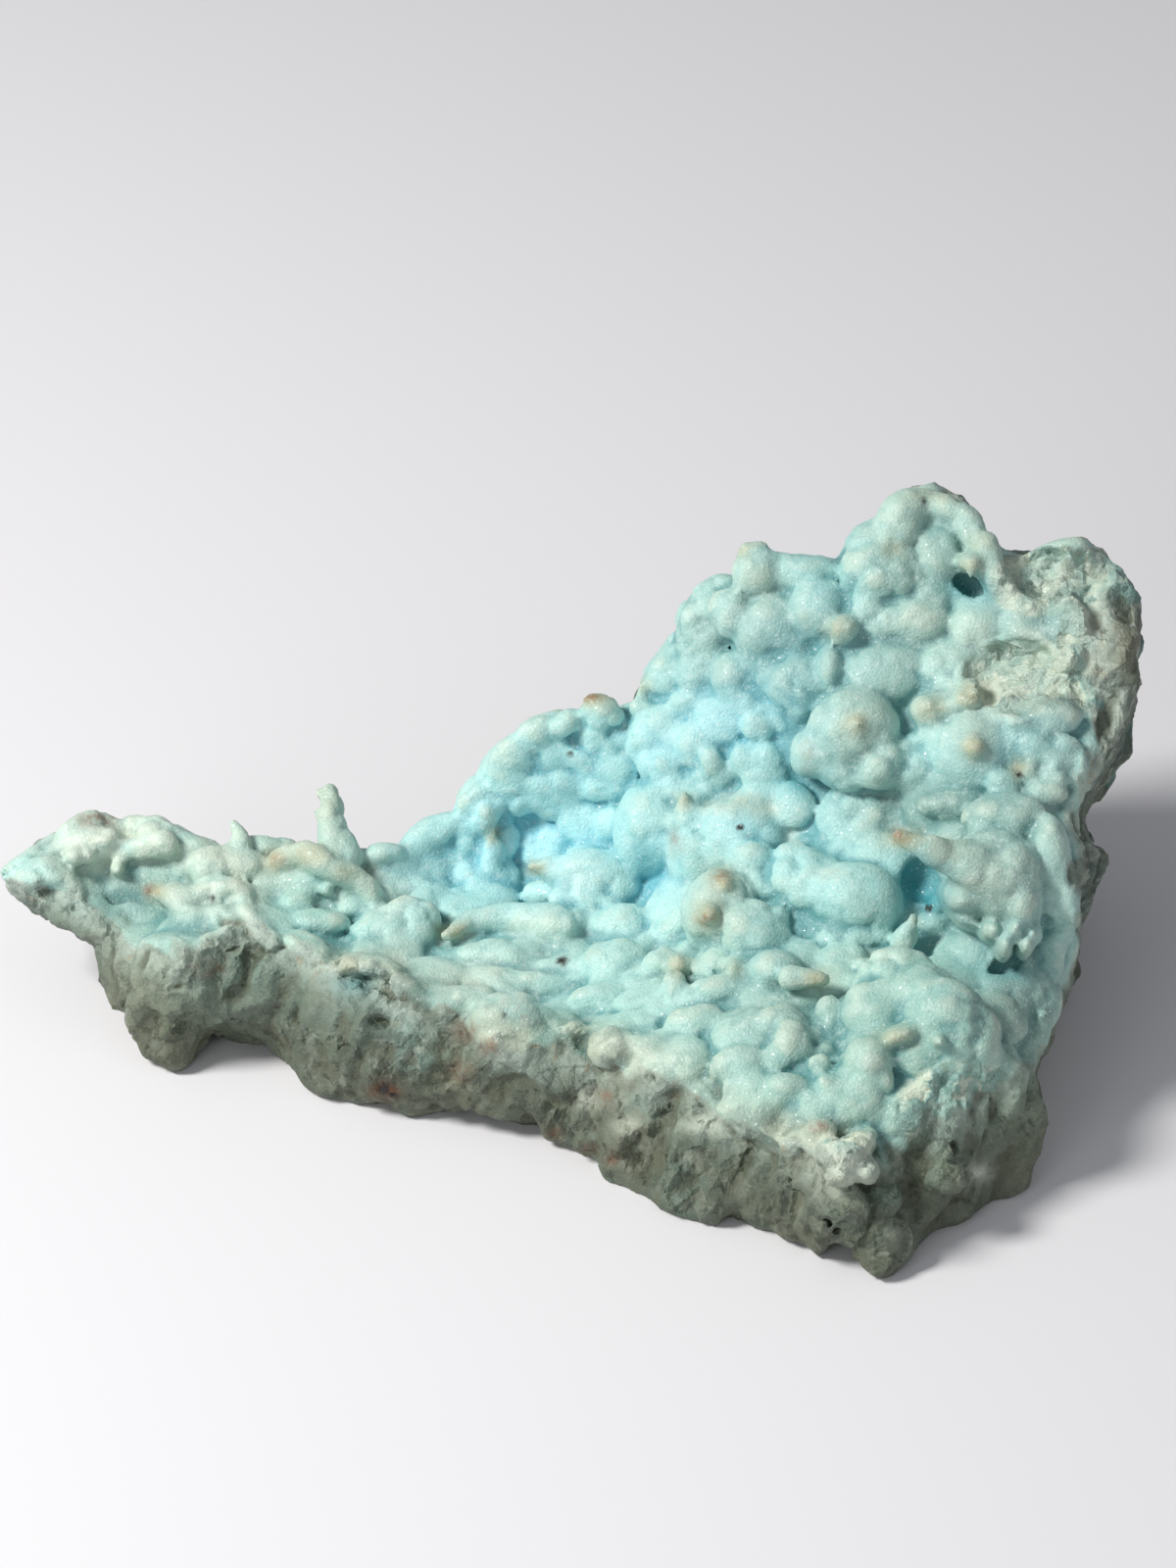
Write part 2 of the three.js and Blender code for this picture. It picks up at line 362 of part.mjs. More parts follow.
// A fixed scatter of numbers from 0 to 1, one for every whole-numbered place.
function scatter(i, j, k, which) {
  const value = Math.sin(i * 127.1 + j * 311.7 + k * 74.7 + which * 53.3) * 43758.5453;
  return value - Math.floor(value);
}

// How far the knobs between the named lumps stand out or in at a point of the crust.
function knobRelief(x, y, z, across, up) {
  const { spacing, height, least } = KNOBS;
  let full = least;
  for (const [a, u, wide, tall] of KNOBBY) {
    full = Math.max(full, 1.25 - 0.5 * Math.hypot((across - a) / wide, (up - u) / tall) ** 2);
  }
  const [i0, j0, k0] = [x, y, z].map((value) => Math.floor(value / spacing));
  let nearest = Infinity;
  for (let i = i0 - 1; i <= i0 + 1; i++) {
    for (let j = j0 - 1; j <= j0 + 1; j++) {
      for (let k = k0 - 1; k <= k0 + 1; k++) {
        const dx = x / spacing - i - scatter(i, j, k, 1);
        const dy = y / spacing - j - scatter(i, j, k, 2);
        const dz = z / spacing - k - scatter(i, j, k, 3);
        nearest = Math.min(nearest, dx * dx + dy * dy + dz * dz);
      }
    }
  }
  return Math.min(full, 1) * height * (0.26 - Math.sqrt(Math.max(1 - nearest / 0.42, 0)));
}

// How far the break stands out or in at a point: scattered heights, and flat facets between them.
function breakRelief(x, y, z) {
  const [c, s] = [Math.cos(FACET_TURN), Math.sin(FACET_TURN)];
  const across = x * c + y * s;
  const along = y * c - x * s;
  const turned = [across, along * c + z * s, z * c - along * s];
  let relief = 0.8;
  for (const [spacing, height] of BREAK) {
    const cell = turned.map((value) => Math.floor(value / spacing));
    const left = turned.map((value, n) => value / spacing - cell[n]);
    const order = [0, 1, 2].sort((m, n) => left[n] - left[m]);
    let sum = (1 - left[order[0]]) * scatter(...cell, 1);
    order.forEach((axis, n) => {
      cell[axis] += 1;
      sum += (left[axis] - (n < 2 ? left[order[n + 1]] : 0)) * scatter(...cell, 1);
    });
    relief += height * (sum - 0.5);
  }
  return relief;
}

// Signed distance to the mass without its lumps.
function massDistance(x, y, z, plan) {
  const rise = (y + ORIGIN_Y) * Math.sin(SIGHT_RISE) + z * Math.cos(SIGHT_RISE);
  const depth = z * Math.sin(SIGHT_RISE) - (y + ORIGIN_Y) * Math.cos(SIGHT_RISE);
  const shrink = (EYE_DISTANCE - depth) / EYE_DISTANCE;
  const across = (x + ORIGIN_X) / shrink;
  const up = EYE_UP + (rise - EYE_UP) / shrink;
  const outside = outlineDistance(across, up) * shrink - 0.6;
  if (outside > 12) return outside;
  const proud = depth - faceDepth(across, up);
  let distance = softMax(proud / faceSlope(across, up), outside, BLEND.edge);
  distance = softMax(distance, distanceToOutline(plan, x + ORIGIN_X, y + ORIGIN_Y), BLEND.edge);
  const left = UNDERCUT.x - ORIGIN_X - x;
  const under = left * Math.sin(UNDERCUT.tilt) + (UNDERCUT.z - z) * Math.cos(UNDERCUT.tilt);
  distance = softMax(distance, under, BLEND.edge);
  if (Math.abs(distance) > 5) return distance;
  let broken = Math.max(crustDistance(across, up) / 2, (-proud - 3.5) / 3);
  for (const [a, u, wide, tall] of CHIPPED) {
    broken = Math.max(broken, (1.1 - Math.hypot((across - a) / wide, (up - u) / tall)) * 3);
  }
  const share = THREE.MathUtils.clamp(broken, 0, 1);
  if (share > 0) distance += share * breakRelief(x + ORIGIN_X, y + ORIGIN_Y, z);
  if (share < 1) distance += (1 - share) * knobRelief(x + ORIGIN_X, y + ORIGIN_Y, z, across, up);
  return distance;
}

// Sample points of the stone: signed distances over the whole room.
class Samples {
  constructor() {
    this.nx = Math.round(ROOM.width / ROOM.step) + 1;
    this.ny = Math.round(ROOM.length / ROOM.step) + 1;
    this.nz = Math.round(ROOM.height / ROOM.step) + 1;
    this.values = new Float64Array(this.nx * this.ny * this.nz);
  }

  at(i, j, k) {
    return (k * this.ny + j) * this.nx + i;
  }

  x(i) {
    return ROOM.left + i * ROOM.step;
  }

  y(j) {
    return ROOM.front + j * ROOM.step;
  }

  z(k) {
    return k * ROOM.step;
  }

  fill(distance) {
    for (let k = 0; k < this.nz; k++) {
      const share = this.z(k) / PLAN_TOP;
      const plan = PLAN.map(([x0, y0, x1, y1]) => [x0 + (x1 - x0) * share, y0 + (y1 - y0) * share]);
      for (let j = 0; j < this.ny; j++) {
        for (let i = 0; i < this.nx; i++) {
          this.values[this.at(i, j, k)] = distance(this.x(i), this.y(j), this.z(k), plan);
        }
      }
    }
  }

  // The lowest layer lies on the table, so nothing in it counts as stone.
  cutOffAtTable() {
    for (let n = 0; n < this.nx * this.ny; n++) this.values[n] = Math.max(this.values[n], 0);
  }

  // Changes the samples inside a box about a few points.
  blend(points, reach, change) {
    const box = new THREE.Box3().setFromPoints(points).expandByScalar(reach);
    const from = (low, start) => Math.max(Math.ceil((low - start) / ROOM.step), 0);
    const to = (high, start, count) => Math.min(Math.floor((high - start) / ROOM.step), count - 1);
    const p = new THREE.Vector3();
    for (let k = from(box.min.z, 0); k <= to(box.max.z, 0, this.nz); k++) {
      for (let j = from(box.min.y, ROOM.front); j <= to(box.max.y, ROOM.front, this.ny); j++) {
        for (let i = from(box.min.x, ROOM.left); i <= to(box.max.x, ROOM.left, this.nx); i++) {
          p.set(this.x(i), this.y(j), this.z(k));
          const n = this.at(i, j, k);
          this.values[n] = change(p, this.values[n]);
        }
      }
    }
  }
}

// Distance to a ball that is pulled to its half sizes and turned, in the sight frame.
function ballDistance(p, centre, halfWidth, halfHeight, halfDepth, turn) {
  const dx = p.x - centre.x;
  const dy = p.y - centre.y;
  const dz = p.z - centre.z;
  const up = dy * Math.sin(SIGHT_RISE) + dz * Math.cos(SIGHT_RISE);
  const near = (dz * Math.sin(SIGHT_RISE) - dy * Math.cos(SIGHT_RISE)) / halfDepth;
  const wide = (dx * Math.cos(turn) + up * Math.sin(turn)) / halfWidth;
  const tall = (up * Math.cos(turn) - dx * Math.sin(turn)) / halfHeight;
  const k0 = Math.hypot(wide, tall, near);
  const k1 = Math.hypot(wide / halfWidth, tall / halfHeight, near / halfDepth);
  return k1 > 0 ? (k0 * (k0 - 1)) / k1 : -Math.min(halfWidth, halfHeight, halfDepth);
}

// A knob of the crust.
function addLump(samples, [across, up, width, height, turn, proud]) {
  const halfWidth = SWELL * width;
  const halfHeight = SWELL * height;
  const size = (halfWidth + halfHeight) / 2;
  const halfDepth = Math.max(0.8 * size, 0.75 * proud);
  const centre = place(across, up, faceDepth(across, up) + proud - halfDepth);
  const blend = 0.2 + BLEND.lump * size;
  const angle = THREE.MathUtils.degToRad(turn);
  samples.blend([centre], Math.max(halfWidth, halfHeight, halfDepth) + blend + 1, (p, value) => {
    const distance = ballDistance(p, centre, halfWidth, halfHeight, halfDepth, angle);
    return softMin(value, distance, blend);
  });
}

function addHollow(samples, [across, up, halfWidth, halfHeight, turn, halfDepth, below]) {
  const centre = place(across, up, faceDepth(across, up) - below);
  const angle = THREE.MathUtils.degToRad(turn);
  samples.blend([centre], Math.max(halfWidth, halfHeight, halfDepth) + 2, (p, value) => {
    const distance = ballDistance(p, centre, halfWidth, halfHeight, halfDepth, angle);
    return softMax(value, -distance, BLEND.hollow);
  });
}

// A spike, horn or ridge: balls of changing radius along a curve through its stations.
function addSpine(samples, stations) {
  const points = stations.map(([across, up, proud]) => {
    const root = stations.length > 2 ? [across, up] : stations[0];
    return place(across, up, faceDepth(root[0], root[1]) + proud);
  });
  const curve = new THREE.CatmullRomCurve3(points);
  const pieces = 4 * (stations.length - 1);
  const bends = curve.getPoints(pieces);
  const radii = bends.map((point, n) => {
    const at = Math.min((n * (stations.length - 1)) / pieces, stations.length - 1 - 1e-9);
    const station = Math.floor(at);
    return THREE.MathUtils.lerp(stations[station][3], stations[station + 1][3], at - station);
  });
  const segment = new THREE.Vector3();
  const offset = new THREE.Vector3();
  samples.blend(bends, Math.max(...radii) + BLEND.spine + 1, (p, value) => {
    let distance = Infinity;
    for (let n = 0; n < pieces; n++) {
      segment.subVectors(bends[n + 1], bends[n]);
      offset.subVectors(p, bends[n]);
      const t = THREE.MathUtils.clamp(offset.dot(segment) / segment.lengthSq(), 0, 1);
      const radius = THREE.MathUtils.lerp(radii[n], radii[n + 1], t);
      distance = Math.min(distance, offset.addScaledVector(segment, -t).length() - radius);
    }
    return softMin(value, distance, BLEND.spine);
  });
}

// Where two parts of the stone would touch only at an edge or a corner of the samples, they are let
// grow together, so that the skin stays closed and simple.
function growTogether(samples) {
  const { nx, ny, values } = samples;
  const steps = [1, nx, nx * ny];
  const solidAt = (n) => values[n] < 0;
  const within = values.length - nx * ny - nx - 1;
  let changed = true;
  while (changed) {
    changed = false;
    for (let n = 0; n < within; n++) {
      for (let a = 0; a < 3; a++) {
        const p = n + steps[a];
        const q = n + steps[(a + 1) % 3];
        const both = p + steps[(a + 1) % 3];
        if (solidAt(n) !== solidAt(both) || solidAt(p) !== solidAt(q) || solidAt(n) === solidAt(p)) continue;
        values[solidAt(n) ? p : n] = -0.05;
        changed = true;
      }
      const cell = steps.reduce((corners, step) => corners.flatMap((m) => [m, m + step]), [n]);
      const full = cell.filter(solidAt);
      if (full.length === 2 && full[0] + full[1] === 2 * n + steps[0] + steps[1] + steps[2]) {
        values[full[0] === n ? n + steps[0] : n] = -0.05;
        changed = true;
      }
    }
  }
}

// The skin of the samples: a corner in every cell that the surface passes through, at the middle of
// its crossings, and a pair of triangles across every crossing between two samples.
function skin(samples) {
  const { nx, ny, nz, values } = samples;
  const corner = new Int32Array(values.length).fill(-1);
  const spots = [];
  const steps = [1, nx, nx * ny];
  const offsets = [0, 1, nx, nx + 1, nx * ny, nx * ny + 1, nx * ny + nx, nx * ny + nx + 1];
  const edges = [];
  for (let a = 0; a < 8; a++) for (const bit of [1, 2, 4]) if (!(a & bit)) edges.push([a, a | bit]);
  for (let k = 0; k < nz - 1; k++) {
    for (let j = 0; j < ny - 1; j++) {
      for (let i = 0; i < nx - 1; i++) {
        const base = samples.at(i, j, k);
        let sum = [0, 0, 0];
        let crossings = 0;
        for (const [a, b] of edges) {
          const va = values[base + offsets[a]];
          const vb = values[base + offsets[b]];
          if (va < 0 === vb < 0) continue;
          const t = va / (va - vb);
          const bit = a ^ b;
          sum = sum.map((value, axis) => value + ((a >> axis) & 1) + (bit === 1 << axis ? t : 0));
          crossings++;
        }
        if (!crossings) continue;
        const [x, y, z] = sum.map((value) => value / crossings);
        const height = samples.z(k + z);
        corner[base] = spots.length / 3;
        spots.push(samples.x(i + x), samples.y(j + y), height < 0.45 * ROOM.step ? 0 : height);
      }
    }
  }
  const triangles = [];
  for (let k = 0; k < nz - 1; k++) {
    for (let j = 1; j < ny - 1; j++) {
      for (let i = 1; i < nx - 1; i++) {
        const n = samples.at(i, j, k);
        for (let axis = 0; axis < 3; axis++) {
          if (values[n] < 0 === values[n + steps[axis]] < 0) continue;
          const u = steps[(axis + 1) % 3];
          const v = steps[(axis + 2) % 3];
          if (k === 0 && axis !== 2) continue;
          const quad = [n, n - u, n - u - v, n - v].map((cell) => corner[cell]);
          if (values[n] >= 0) quad.reverse();
          triangles.push(quad[0], quad[1], quad[2], quad[0], quad[2], quad[3]);
        }
      }
    }
  }
  return { spots: Float64Array.from(spots), triangles };
}

// Sets of joined items: an item's root names its set.
function sets(count) {
  const parent = Int32Array.from({ length: count }, (_, n) => n);
  const root = (n) => {
    let r = n;
    while (parent[r] !== r) {
      parent[r] = parent[parent[r]];
      r = parent[r];
    }
    return r;
  };
  const join = (a, b) => {
    parent[root(a)] = root(b);
  };
  return { root, join };
}

// Only the largest closed skin stays: pockets inside the stone fill in, and loose crumbs go. Where the
// skin touches itself at one corner, each side gets a corner of its own.
function largestPiece({ spots, triangles }) {
  const span = spots.length / 3;
  const next = (n) => n - (n % 3) + ((n + 1) % 3);
  const edges = new Map(triangles.map((v, n) => [v * span + triangles[next(n)], n]));
  const corners = sets(triangles.length);
  const pieces = sets(triangles.length / 3);
  triangles.forEach((v, n) => {
    const facing = edges.get(triangles[next(n)] * span + v);
    corners.join(n, next(facing));
    pieces.join(Math.floor(n / 3), Math.floor(facing / 3));
  });
  const sizes = new Map();
  for (let t = 0; t < triangles.length / 3; t++) {
    sizes.set(pieces.root(t), (sizes.get(pieces.root(t)) ?? 0) + 1);
  }
  const largest = [...sizes].sort((a, b) => b[1] - a[1])[0][0];
  const renamed = new Map();
  const keptSpots = [];
  const kept = [];
  triangles.forEach((v, n) => {
    if (pieces.root(Math.floor(n / 3)) !== largest) return;
    const corner = corners.root(n);
    if (!renamed.has(corner)) {
      renamed.set(corner, keptSpots.length / 3);
      keptSpots.push(spots[3 * v], spots[3 * v + 1], spots[3 * v + 2]);
    }
    kept.push(renamed.get(corner));
  });
  return { spots: Float64Array.from(keptSpots), triangles: kept };
}

// The edges whose loss changes the shape least close up, cheapest first, until the skin has the wanted
// number of triangles. No triangle turns over, and corners on the table stay on it.
function thinOut({ spots, triangles }, wanted) {
  const count = spots.length / 3;
  const around = Array.from({ length: count }, () => []);
  for (let i = 0; i < triangles.length; i++) around[triangles[i]].push(Math.floor(i / 3));
  const quadrics = new Float64Array(count * 10);
  const normal = [0, 0, 0];
  const measure = (a, b, c) => {
    const [ux, uy, uz] = [b[0] - a[0], b[1] - a[1], b[2] - a[2]];
    const [vx, vy, vz] = [c[0] - a[0], c[1] - a[1], c[2] - a[2]];
    normal[0] = uy * vz - uz * vy;
    normal[1] = uz * vx - ux * vz;
    normal[2] = ux * vy - uy * vx;
    return Math.hypot(normal[0], normal[1], normal[2]);
  };
  const spot = (v) => [spots[3 * v], spots[3 * v + 1], spots[3 * v + 2]];
  for (let i = 0; i < triangles.length; i += 3) {
    const [a, b, c] = [spot(triangles[i]), spot(triangles[i + 1]), spot(triangles[i + 2])];
    const size = measure(a, b, c);
    if (size < 1e-9) continue;
    const plane = normal.map((value) => value / size);
    plane.push(-(plane[0] * a[0] + plane[1] * a[1] + plane[2] * a[2]));
    for (let corner = 0; corner < 3; corner++) {
      let n = 10 * triangles[i + corner];
      for (let p = 0; p < 4; p++) {
        for (let q = p; q < 4; q++) quadrics[n++] += (size / 2) * plane[p] * plane[q];
      }
    }
  }
  const errorAt = (q, [x, y, z]) => q[0] * x * x + 2 * q[1] * x * y + 2 * q[2] * x * z + 2 * q[3] * x
    + q[4] * y * y + 2 * q[5] * y * z + 2 * q[6] * y + q[7] * z * z + 2 * q[8] * z + q[9];
  const bestSpot = (q) => {
    const [a, b, c, d, e, f, g, h, i] = q;
    const det = a * (e * h - f * f) - b * (b * h - f * c) + c * (b * f - e * c);
    if (Math.abs(det) < 1e-5) return null;
    return [
      -(d * (e * h - f * f) - b * (g * h - f * i) + c * (g * f - e * i)) / det,
      -(a * (g * h - f * i) - d * (b * h - f * c) + c * (b * i - g * c)) / det,
      -(a * (e * i - g * f) - b * (b * i - g * c) + d * (b * f - e * c)) / det,
    ];
  };
  const age = new Int32Array(count);
  const heap = [];
  const push = (item) => {
    let i = heap.push(item) - 1;
    while (i > 0) {
      const above = (i - 1) >> 1;
      if (heap[above].cost <= item.cost) break;
      heap[i] = heap[above];
      i = above;
    }
    heap[i] = item;
  };
  const pop = () => {
    const top = heap[0];
    const item = heap.pop();
    let i = 0;
    while (heap.length) {
      let child = 2 * i + 1;
      if (child >= heap.length) break;
      if (child + 1 < heap.length && heap[child + 1].cost < heap[child].cost) child++;
      if (heap[child].cost >= item.cost) break;
      heap[i] = heap[child];
      i = child;
    }
    if (heap.length) heap[i] = item;
    return top;
  };
  const consider = (a, b) => {
    const q = [];
    for (let n = 0; n < 10; n++) q.push(quadrics[10 * a + n] + quadrics[10 * b + n]);
    const [pa, pb] = [spot(a), spot(b)];
    const middle = pa.map((value, axis) => (value + pb[axis]) / 2);
    const length = Math.hypot(pa[0] - pb[0], pa[1] - pb[1], pa[2] - pb[2]);
    const choices = [middle, pa, pb];
    const best = bestSpot(q);
    if (best && Math.hypot(best[0] - middle[0], best[1] - middle[1], best[2] - middle[2]) < length) {
      choices.push(best);
    }
    const onTable = pa[2] === 0 || pb[2] === 0;
    let target = null;
    let cost = Infinity;
    for (const choice of choices) {
      choice[2] = onTable ? 0 : Math.max(choice[2], 0.3);
      const error = Math.abs(errorAt(q, choice)) + 1e-3 * length * length;
      if (error < cost) [target, cost] = [choice, error];
    }
    push({ a, b, target, cost, ageA: age[a], ageB: age[b] });
  };
  const neighbours = (v) => {
    const found = new Set();
    for (const t of around[v]) for (let n = 3 * t; n < 3 * t + 3; n++) found.add(triangles[n]);
    found.delete(v);
    return found;
  };
  const turnsOver = (v, other, target) => {
    for (const t of around[v]) {
      const corners = [triangles[3 * t], triangles[3 * t + 1], triangles[3 * t + 2]];
      if (corners.includes(other)) continue;
      const before = measure(...corners.map(spot));
      const [nx, ny, nz] = normal;
      const after = measure(...corners.map((w) => (w === v ? target : spot(w))));
      const agree = nx * normal[0] + ny * normal[1] + nz * normal[2];
      if (after < 0.1 || agree < 0.25 * before * after) return true;
    }
    return false;
  };
  for (let v = 0; v < count; v++) for (const w of neighbours(v)) if (v < w) consider(v, w);
  let left = triangles.length / 3;
  while (left > wanted && heap.length) {
    const { a, b, target, ageA, ageB } = pop();
    if (age[a] !== ageA || age[b] !== ageB) continue;
    const nearB = neighbours(b);
    const shared = [...neighbours(a)].filter((v) => nearB.has(v));
    if (shared.length !== 2 || shared.some((v) => around[v].length < 4)) continue;
    if (turnsOver(a, b, target) || turnsOver(b, a, target)) continue;
    for (const t of around[b]) {
      const corners = [triangles[3 * t], triangles[3 * t + 1], triangles[3 * t + 2]];
      if (corners.includes(a)) {
        for (const v of corners) if (v !== b) around[v] = around[v].filter((other) => other !== t);
        triangles[3 * t] = -1;
        left--;
      } else {
        triangles[3 * t + corners.indexOf(b)] = a;
        around[a].push(t);
      }
    }
    around[b] = [];
    spots.set(target, 3 * a);
    for (let n = 0; n < 10; n++) quadrics[10 * a + n] += quadrics[10 * b + n];
    age[b] = -1;
    age[a]++;
    for (const v of neighbours(a)) consider(a, v);
  }
  const kept = new Map();
  const corners = [];
  const faces = [];
  for (let i = 0; i < triangles.length; i += 3) {
    if (triangles[i] < 0) continue;
    for (let n = i; n < i + 3; n++) {
      const v = triangles[n];
      if (!kept.has(v)) kept.set(v, corners.push(new THREE.Vector3(...spot(v))) - 1);
      faces.push(kept.get(v));
    }
  }
  const geometry = new THREE.BufferGeometry().setFromPoints(corners);
  geometry.setIndex(faces);
  return geometry;
}

function aragonite() {
  const samples = new Samples();
  samples.fill(massDistance);
  for (const lump of LUMPS) addLump(samples, lump);
  for (const spine of SPINES) addSpine(samples, spine);
  for (const hollow of HOLLOWS) addHollow(samples, hollow);
  samples.cutOffAtTable();
  growTogether(samples);
  const geometry = thinOut(largestPiece(skin(samples)), TRIANGLES);
  geometry.computeVertexNormals();
  const colour = new THREE.Color().setRGB(0.6, 0.79, 0.78);
  const material = new THREE.MeshStandardMaterial({ color: colour, roughness: 0.6, metalness: 0 });
  const mesh = new THREE.Mesh(geometry, material);
  mesh.name = "blue_aragonite";
  return mesh;
}

const group = new THREE.Group();
group.add(aragonite());

export default group;
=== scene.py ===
"""Blue aragonite: a specimen of knobbly blue cave crust on the broken grey-green mass that it grew from.

The stone is one mesh. It is worked out as signed distances over a room of samples, in the stone's own
frame: the mass between its face and its broken sides, then lumps, spikes and hollows, each grown into
the next. Its skin then gets the small relief of the crust and of the break, and per-vertex masks that
the material reads. Lengths are in millimetres until the mesh is made.
"""
import math
from itertools import product

import bpy
import numpy as np
from mathutils import Matrix, Vector


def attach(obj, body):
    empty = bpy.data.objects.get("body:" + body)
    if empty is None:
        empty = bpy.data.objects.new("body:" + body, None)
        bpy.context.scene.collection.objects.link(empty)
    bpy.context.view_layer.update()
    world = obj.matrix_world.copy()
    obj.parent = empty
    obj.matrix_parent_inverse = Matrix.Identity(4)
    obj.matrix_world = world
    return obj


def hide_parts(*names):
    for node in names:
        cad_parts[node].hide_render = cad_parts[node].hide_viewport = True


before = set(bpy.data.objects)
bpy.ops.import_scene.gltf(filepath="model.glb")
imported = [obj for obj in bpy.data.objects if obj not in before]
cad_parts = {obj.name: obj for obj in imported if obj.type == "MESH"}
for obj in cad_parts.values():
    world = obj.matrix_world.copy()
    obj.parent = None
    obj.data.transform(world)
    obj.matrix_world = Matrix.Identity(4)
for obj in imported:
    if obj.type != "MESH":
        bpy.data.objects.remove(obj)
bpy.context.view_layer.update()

NODE = "blue_aragonite"

# The sight frame: across and up on a plane square to the line of sight, depth towards the eye.
SIGHT_RISE = math.radians(35.0)
SIN, COS = math.sin(SIGHT_RISE), math.cos(SIGHT_RISE)
EYE_DISTANCE = 900.0
EYE_UP = 75.0
VIEW_HEIGHT = 240.0
ORIGIN_X = -2.6
ORIGIN_Y = 57.2

# The field of samples over the sight plane, the room of samples round the stone, their spacing, and how
# many triangles the finished stone has.
FIELD = {"left": -100.0, "right": 96.0, "bottom": -10.0, "top": 130.0, "step": 1.0}
ROOM = {"left": -96.0, "front": -63.0, "width": 192.0, "length": 126.0, "height": 83.0}
STEP = 0.66
TRIANGLES = 192000

# How far one form runs into the next, as the crust does where lumps grow together.
BLEND = {"edge": 2.6, "lump": 0.08, "spine": 0.8, "hollow": 0.8}

# The broken outline of the mass, across and up, from the tip of the left wing along the top to the
# right, and back along the foot.
OUTLINE = [
    [-90.5, 60.5], [-86, 63], [-81, 67], [-75, 69.5], [-71, 69], [-66, 68.5], [-62, 66], [-58, 64.8],
    [-50, 65], [-42, 64.8], [-35, 64.5], [-29, 63.5], [-27.5, 65], [-23, 69], [-19.5, 70], [-18.5, 72.5],
    [-15, 76], [-12.8, 80], [-9, 82.8], [-4, 84.8], [0, 86.5], [5, 85], [7, 86], [8, 88.5], [10, 92],
    [14, 95], [15, 100], [18, 104], [23, 106], [24, 109], [29, 108.5], [38, 109.5], [42, 113], [46, 115],
    [49, 118.5], [53, 120], [57, 117], [60, 113], [62.5, 109.5], [68, 109.3], [72, 110.5], [76, 112],
    [78.5, 109], [81, 107.5], [82.5, 104], [83.2, 98], [84, 91], [83, 86], [81.5, 80.5], [79, 78],
    [78, 75.5], [76, 72.5], [74.7, 70], [76.5, 66], [78, 62], [78.8, 59], [75.5, 55], [74.5, 51.5],
    [75.5, 49], [76.6, 45.5], [74, 42], [72.5, 38.5], [71, 35.5], [68.5, 33.5], [67.6, 31], [68.5, 28],
    [69.2, 25.5], [68.5, 22], [68, 15.5], [65, 12], [63.5, 10], [58, 7.5], [52, 5], [48, 2], [45, -0.8],
    [42.5, -0.3], [40, 1.5], [38.5, 2.8], [35, 2.7], [32.5, 4.3], [26, 6.3], [21.5, 8.2], [19, 7.2],
    [14, 9.2], [10, 11.8], [6, 13], [3.5, 14.5], [1.5, 18], [-1.5, 19], [-4, 21], [-8, 22], [-13, 23.3],
    [-17, 23.8], [-20, 25], [-25, 25], [-30, 26], [-36, 26.2], [-40, 27.2], [-45, 29.2], [-48, 32],
    [-50, 34.5], [-54, 36], [-57.5, 37.5], [-60, 35], [-60.8, 33.5], [-62, 33], [-67.5, 33.8], [-70.8, 35],
    [-72, 38], [-74, 40], [-74.2, 45], [-74.8, 50.2], [-78, 52], [-82, 53.8], [-84.5, 54.2], [-87, 56.5],
    [-90.5, 57.8],
]

# The general form of the face between its lumps: across, up, and the height above the table there.
FACE = [
    # foot of the broken front and right sides
    [45, -3, 0], [30, 3, 0], [15, 8, 1], [0, 17, 1], [-20, 23, 1], [-40, 27, 2], [-55, 35, 4], [-66, 32, 2],
    [-77, 44, 12], [-90, 58, 20], [56, 4, 0], [67, 14, 3], [71, 26, 11],
    # rim where the break meets the crust
    [36, 15, 15], [26, 22, 17], [12, 31, 20], [0, 35, 18], [-12, 38, 19], [-26, 42, 19], [-40, 47, 21],
    [-52, 51, 21], [-64, 50, 21], [-76, 54, 20], [-88, 61, 24],
    # left wing
    [-75, 61, 21], [-76, 69, 27], [-66, 56, 18], [-60, 65, 25], [-48, 58, 20], [-44, 66, 25],
    [-41, 60, 22.5], [-38, 53, 18], [-32, 63, 23],
    # floor of the basin and the wall behind it
    [-25, 60, 18], [-11, 61, 18], [-20, 50, 17], [-5, 50, 17], [-8, 43, 17], [5, 40, 19], [9, 57, 21],
    [-1, 67, 23], [-24, 69, 26], [-15, 75, 32], [-8, 81, 38], [2, 85, 42], [5, 77, 34],
    # mound
    [13, 77, 37], [22, 71, 34], [13, 90, 47], [22, 84, 45], [24, 95, 55], [18, 102, 59], [32, 100, 60],
    [42, 96, 59], [42, 109, 69], [50, 103, 64], [53, 118, 76], [62, 107, 69], [72, 109, 71], [79, 107, 69],
    [60, 98, 61], [70, 97, 62], [79, 96, 63], [84, 90, 58], [67, 87, 57], [76, 83, 54], [82, 79, 52],
    [31, 82, 45], [46, 72, 41], [38, 68, 36], [56, 79, 49], [66, 75, 48], [75, 70, 45], [50, 65, 37],
    [63, 61, 38], [75, 60, 41], [81, 58, 41],
    # lower right
    [20, 60, 28], [30, 56, 28], [40, 54, 29.5], [52, 54, 27.5], [24, 44, 25], [34, 42, 24.5], [15, 38, 22],
    [44, 32, 24.5], [57, 31, 24], [59, 46, 26], [67, 40, 23], [72, 50, 29], [76, 38, 20], [46, 22, 17],
    [57, 17, 13.5], [65, 22, 13.5], [30, 30, 23],
]

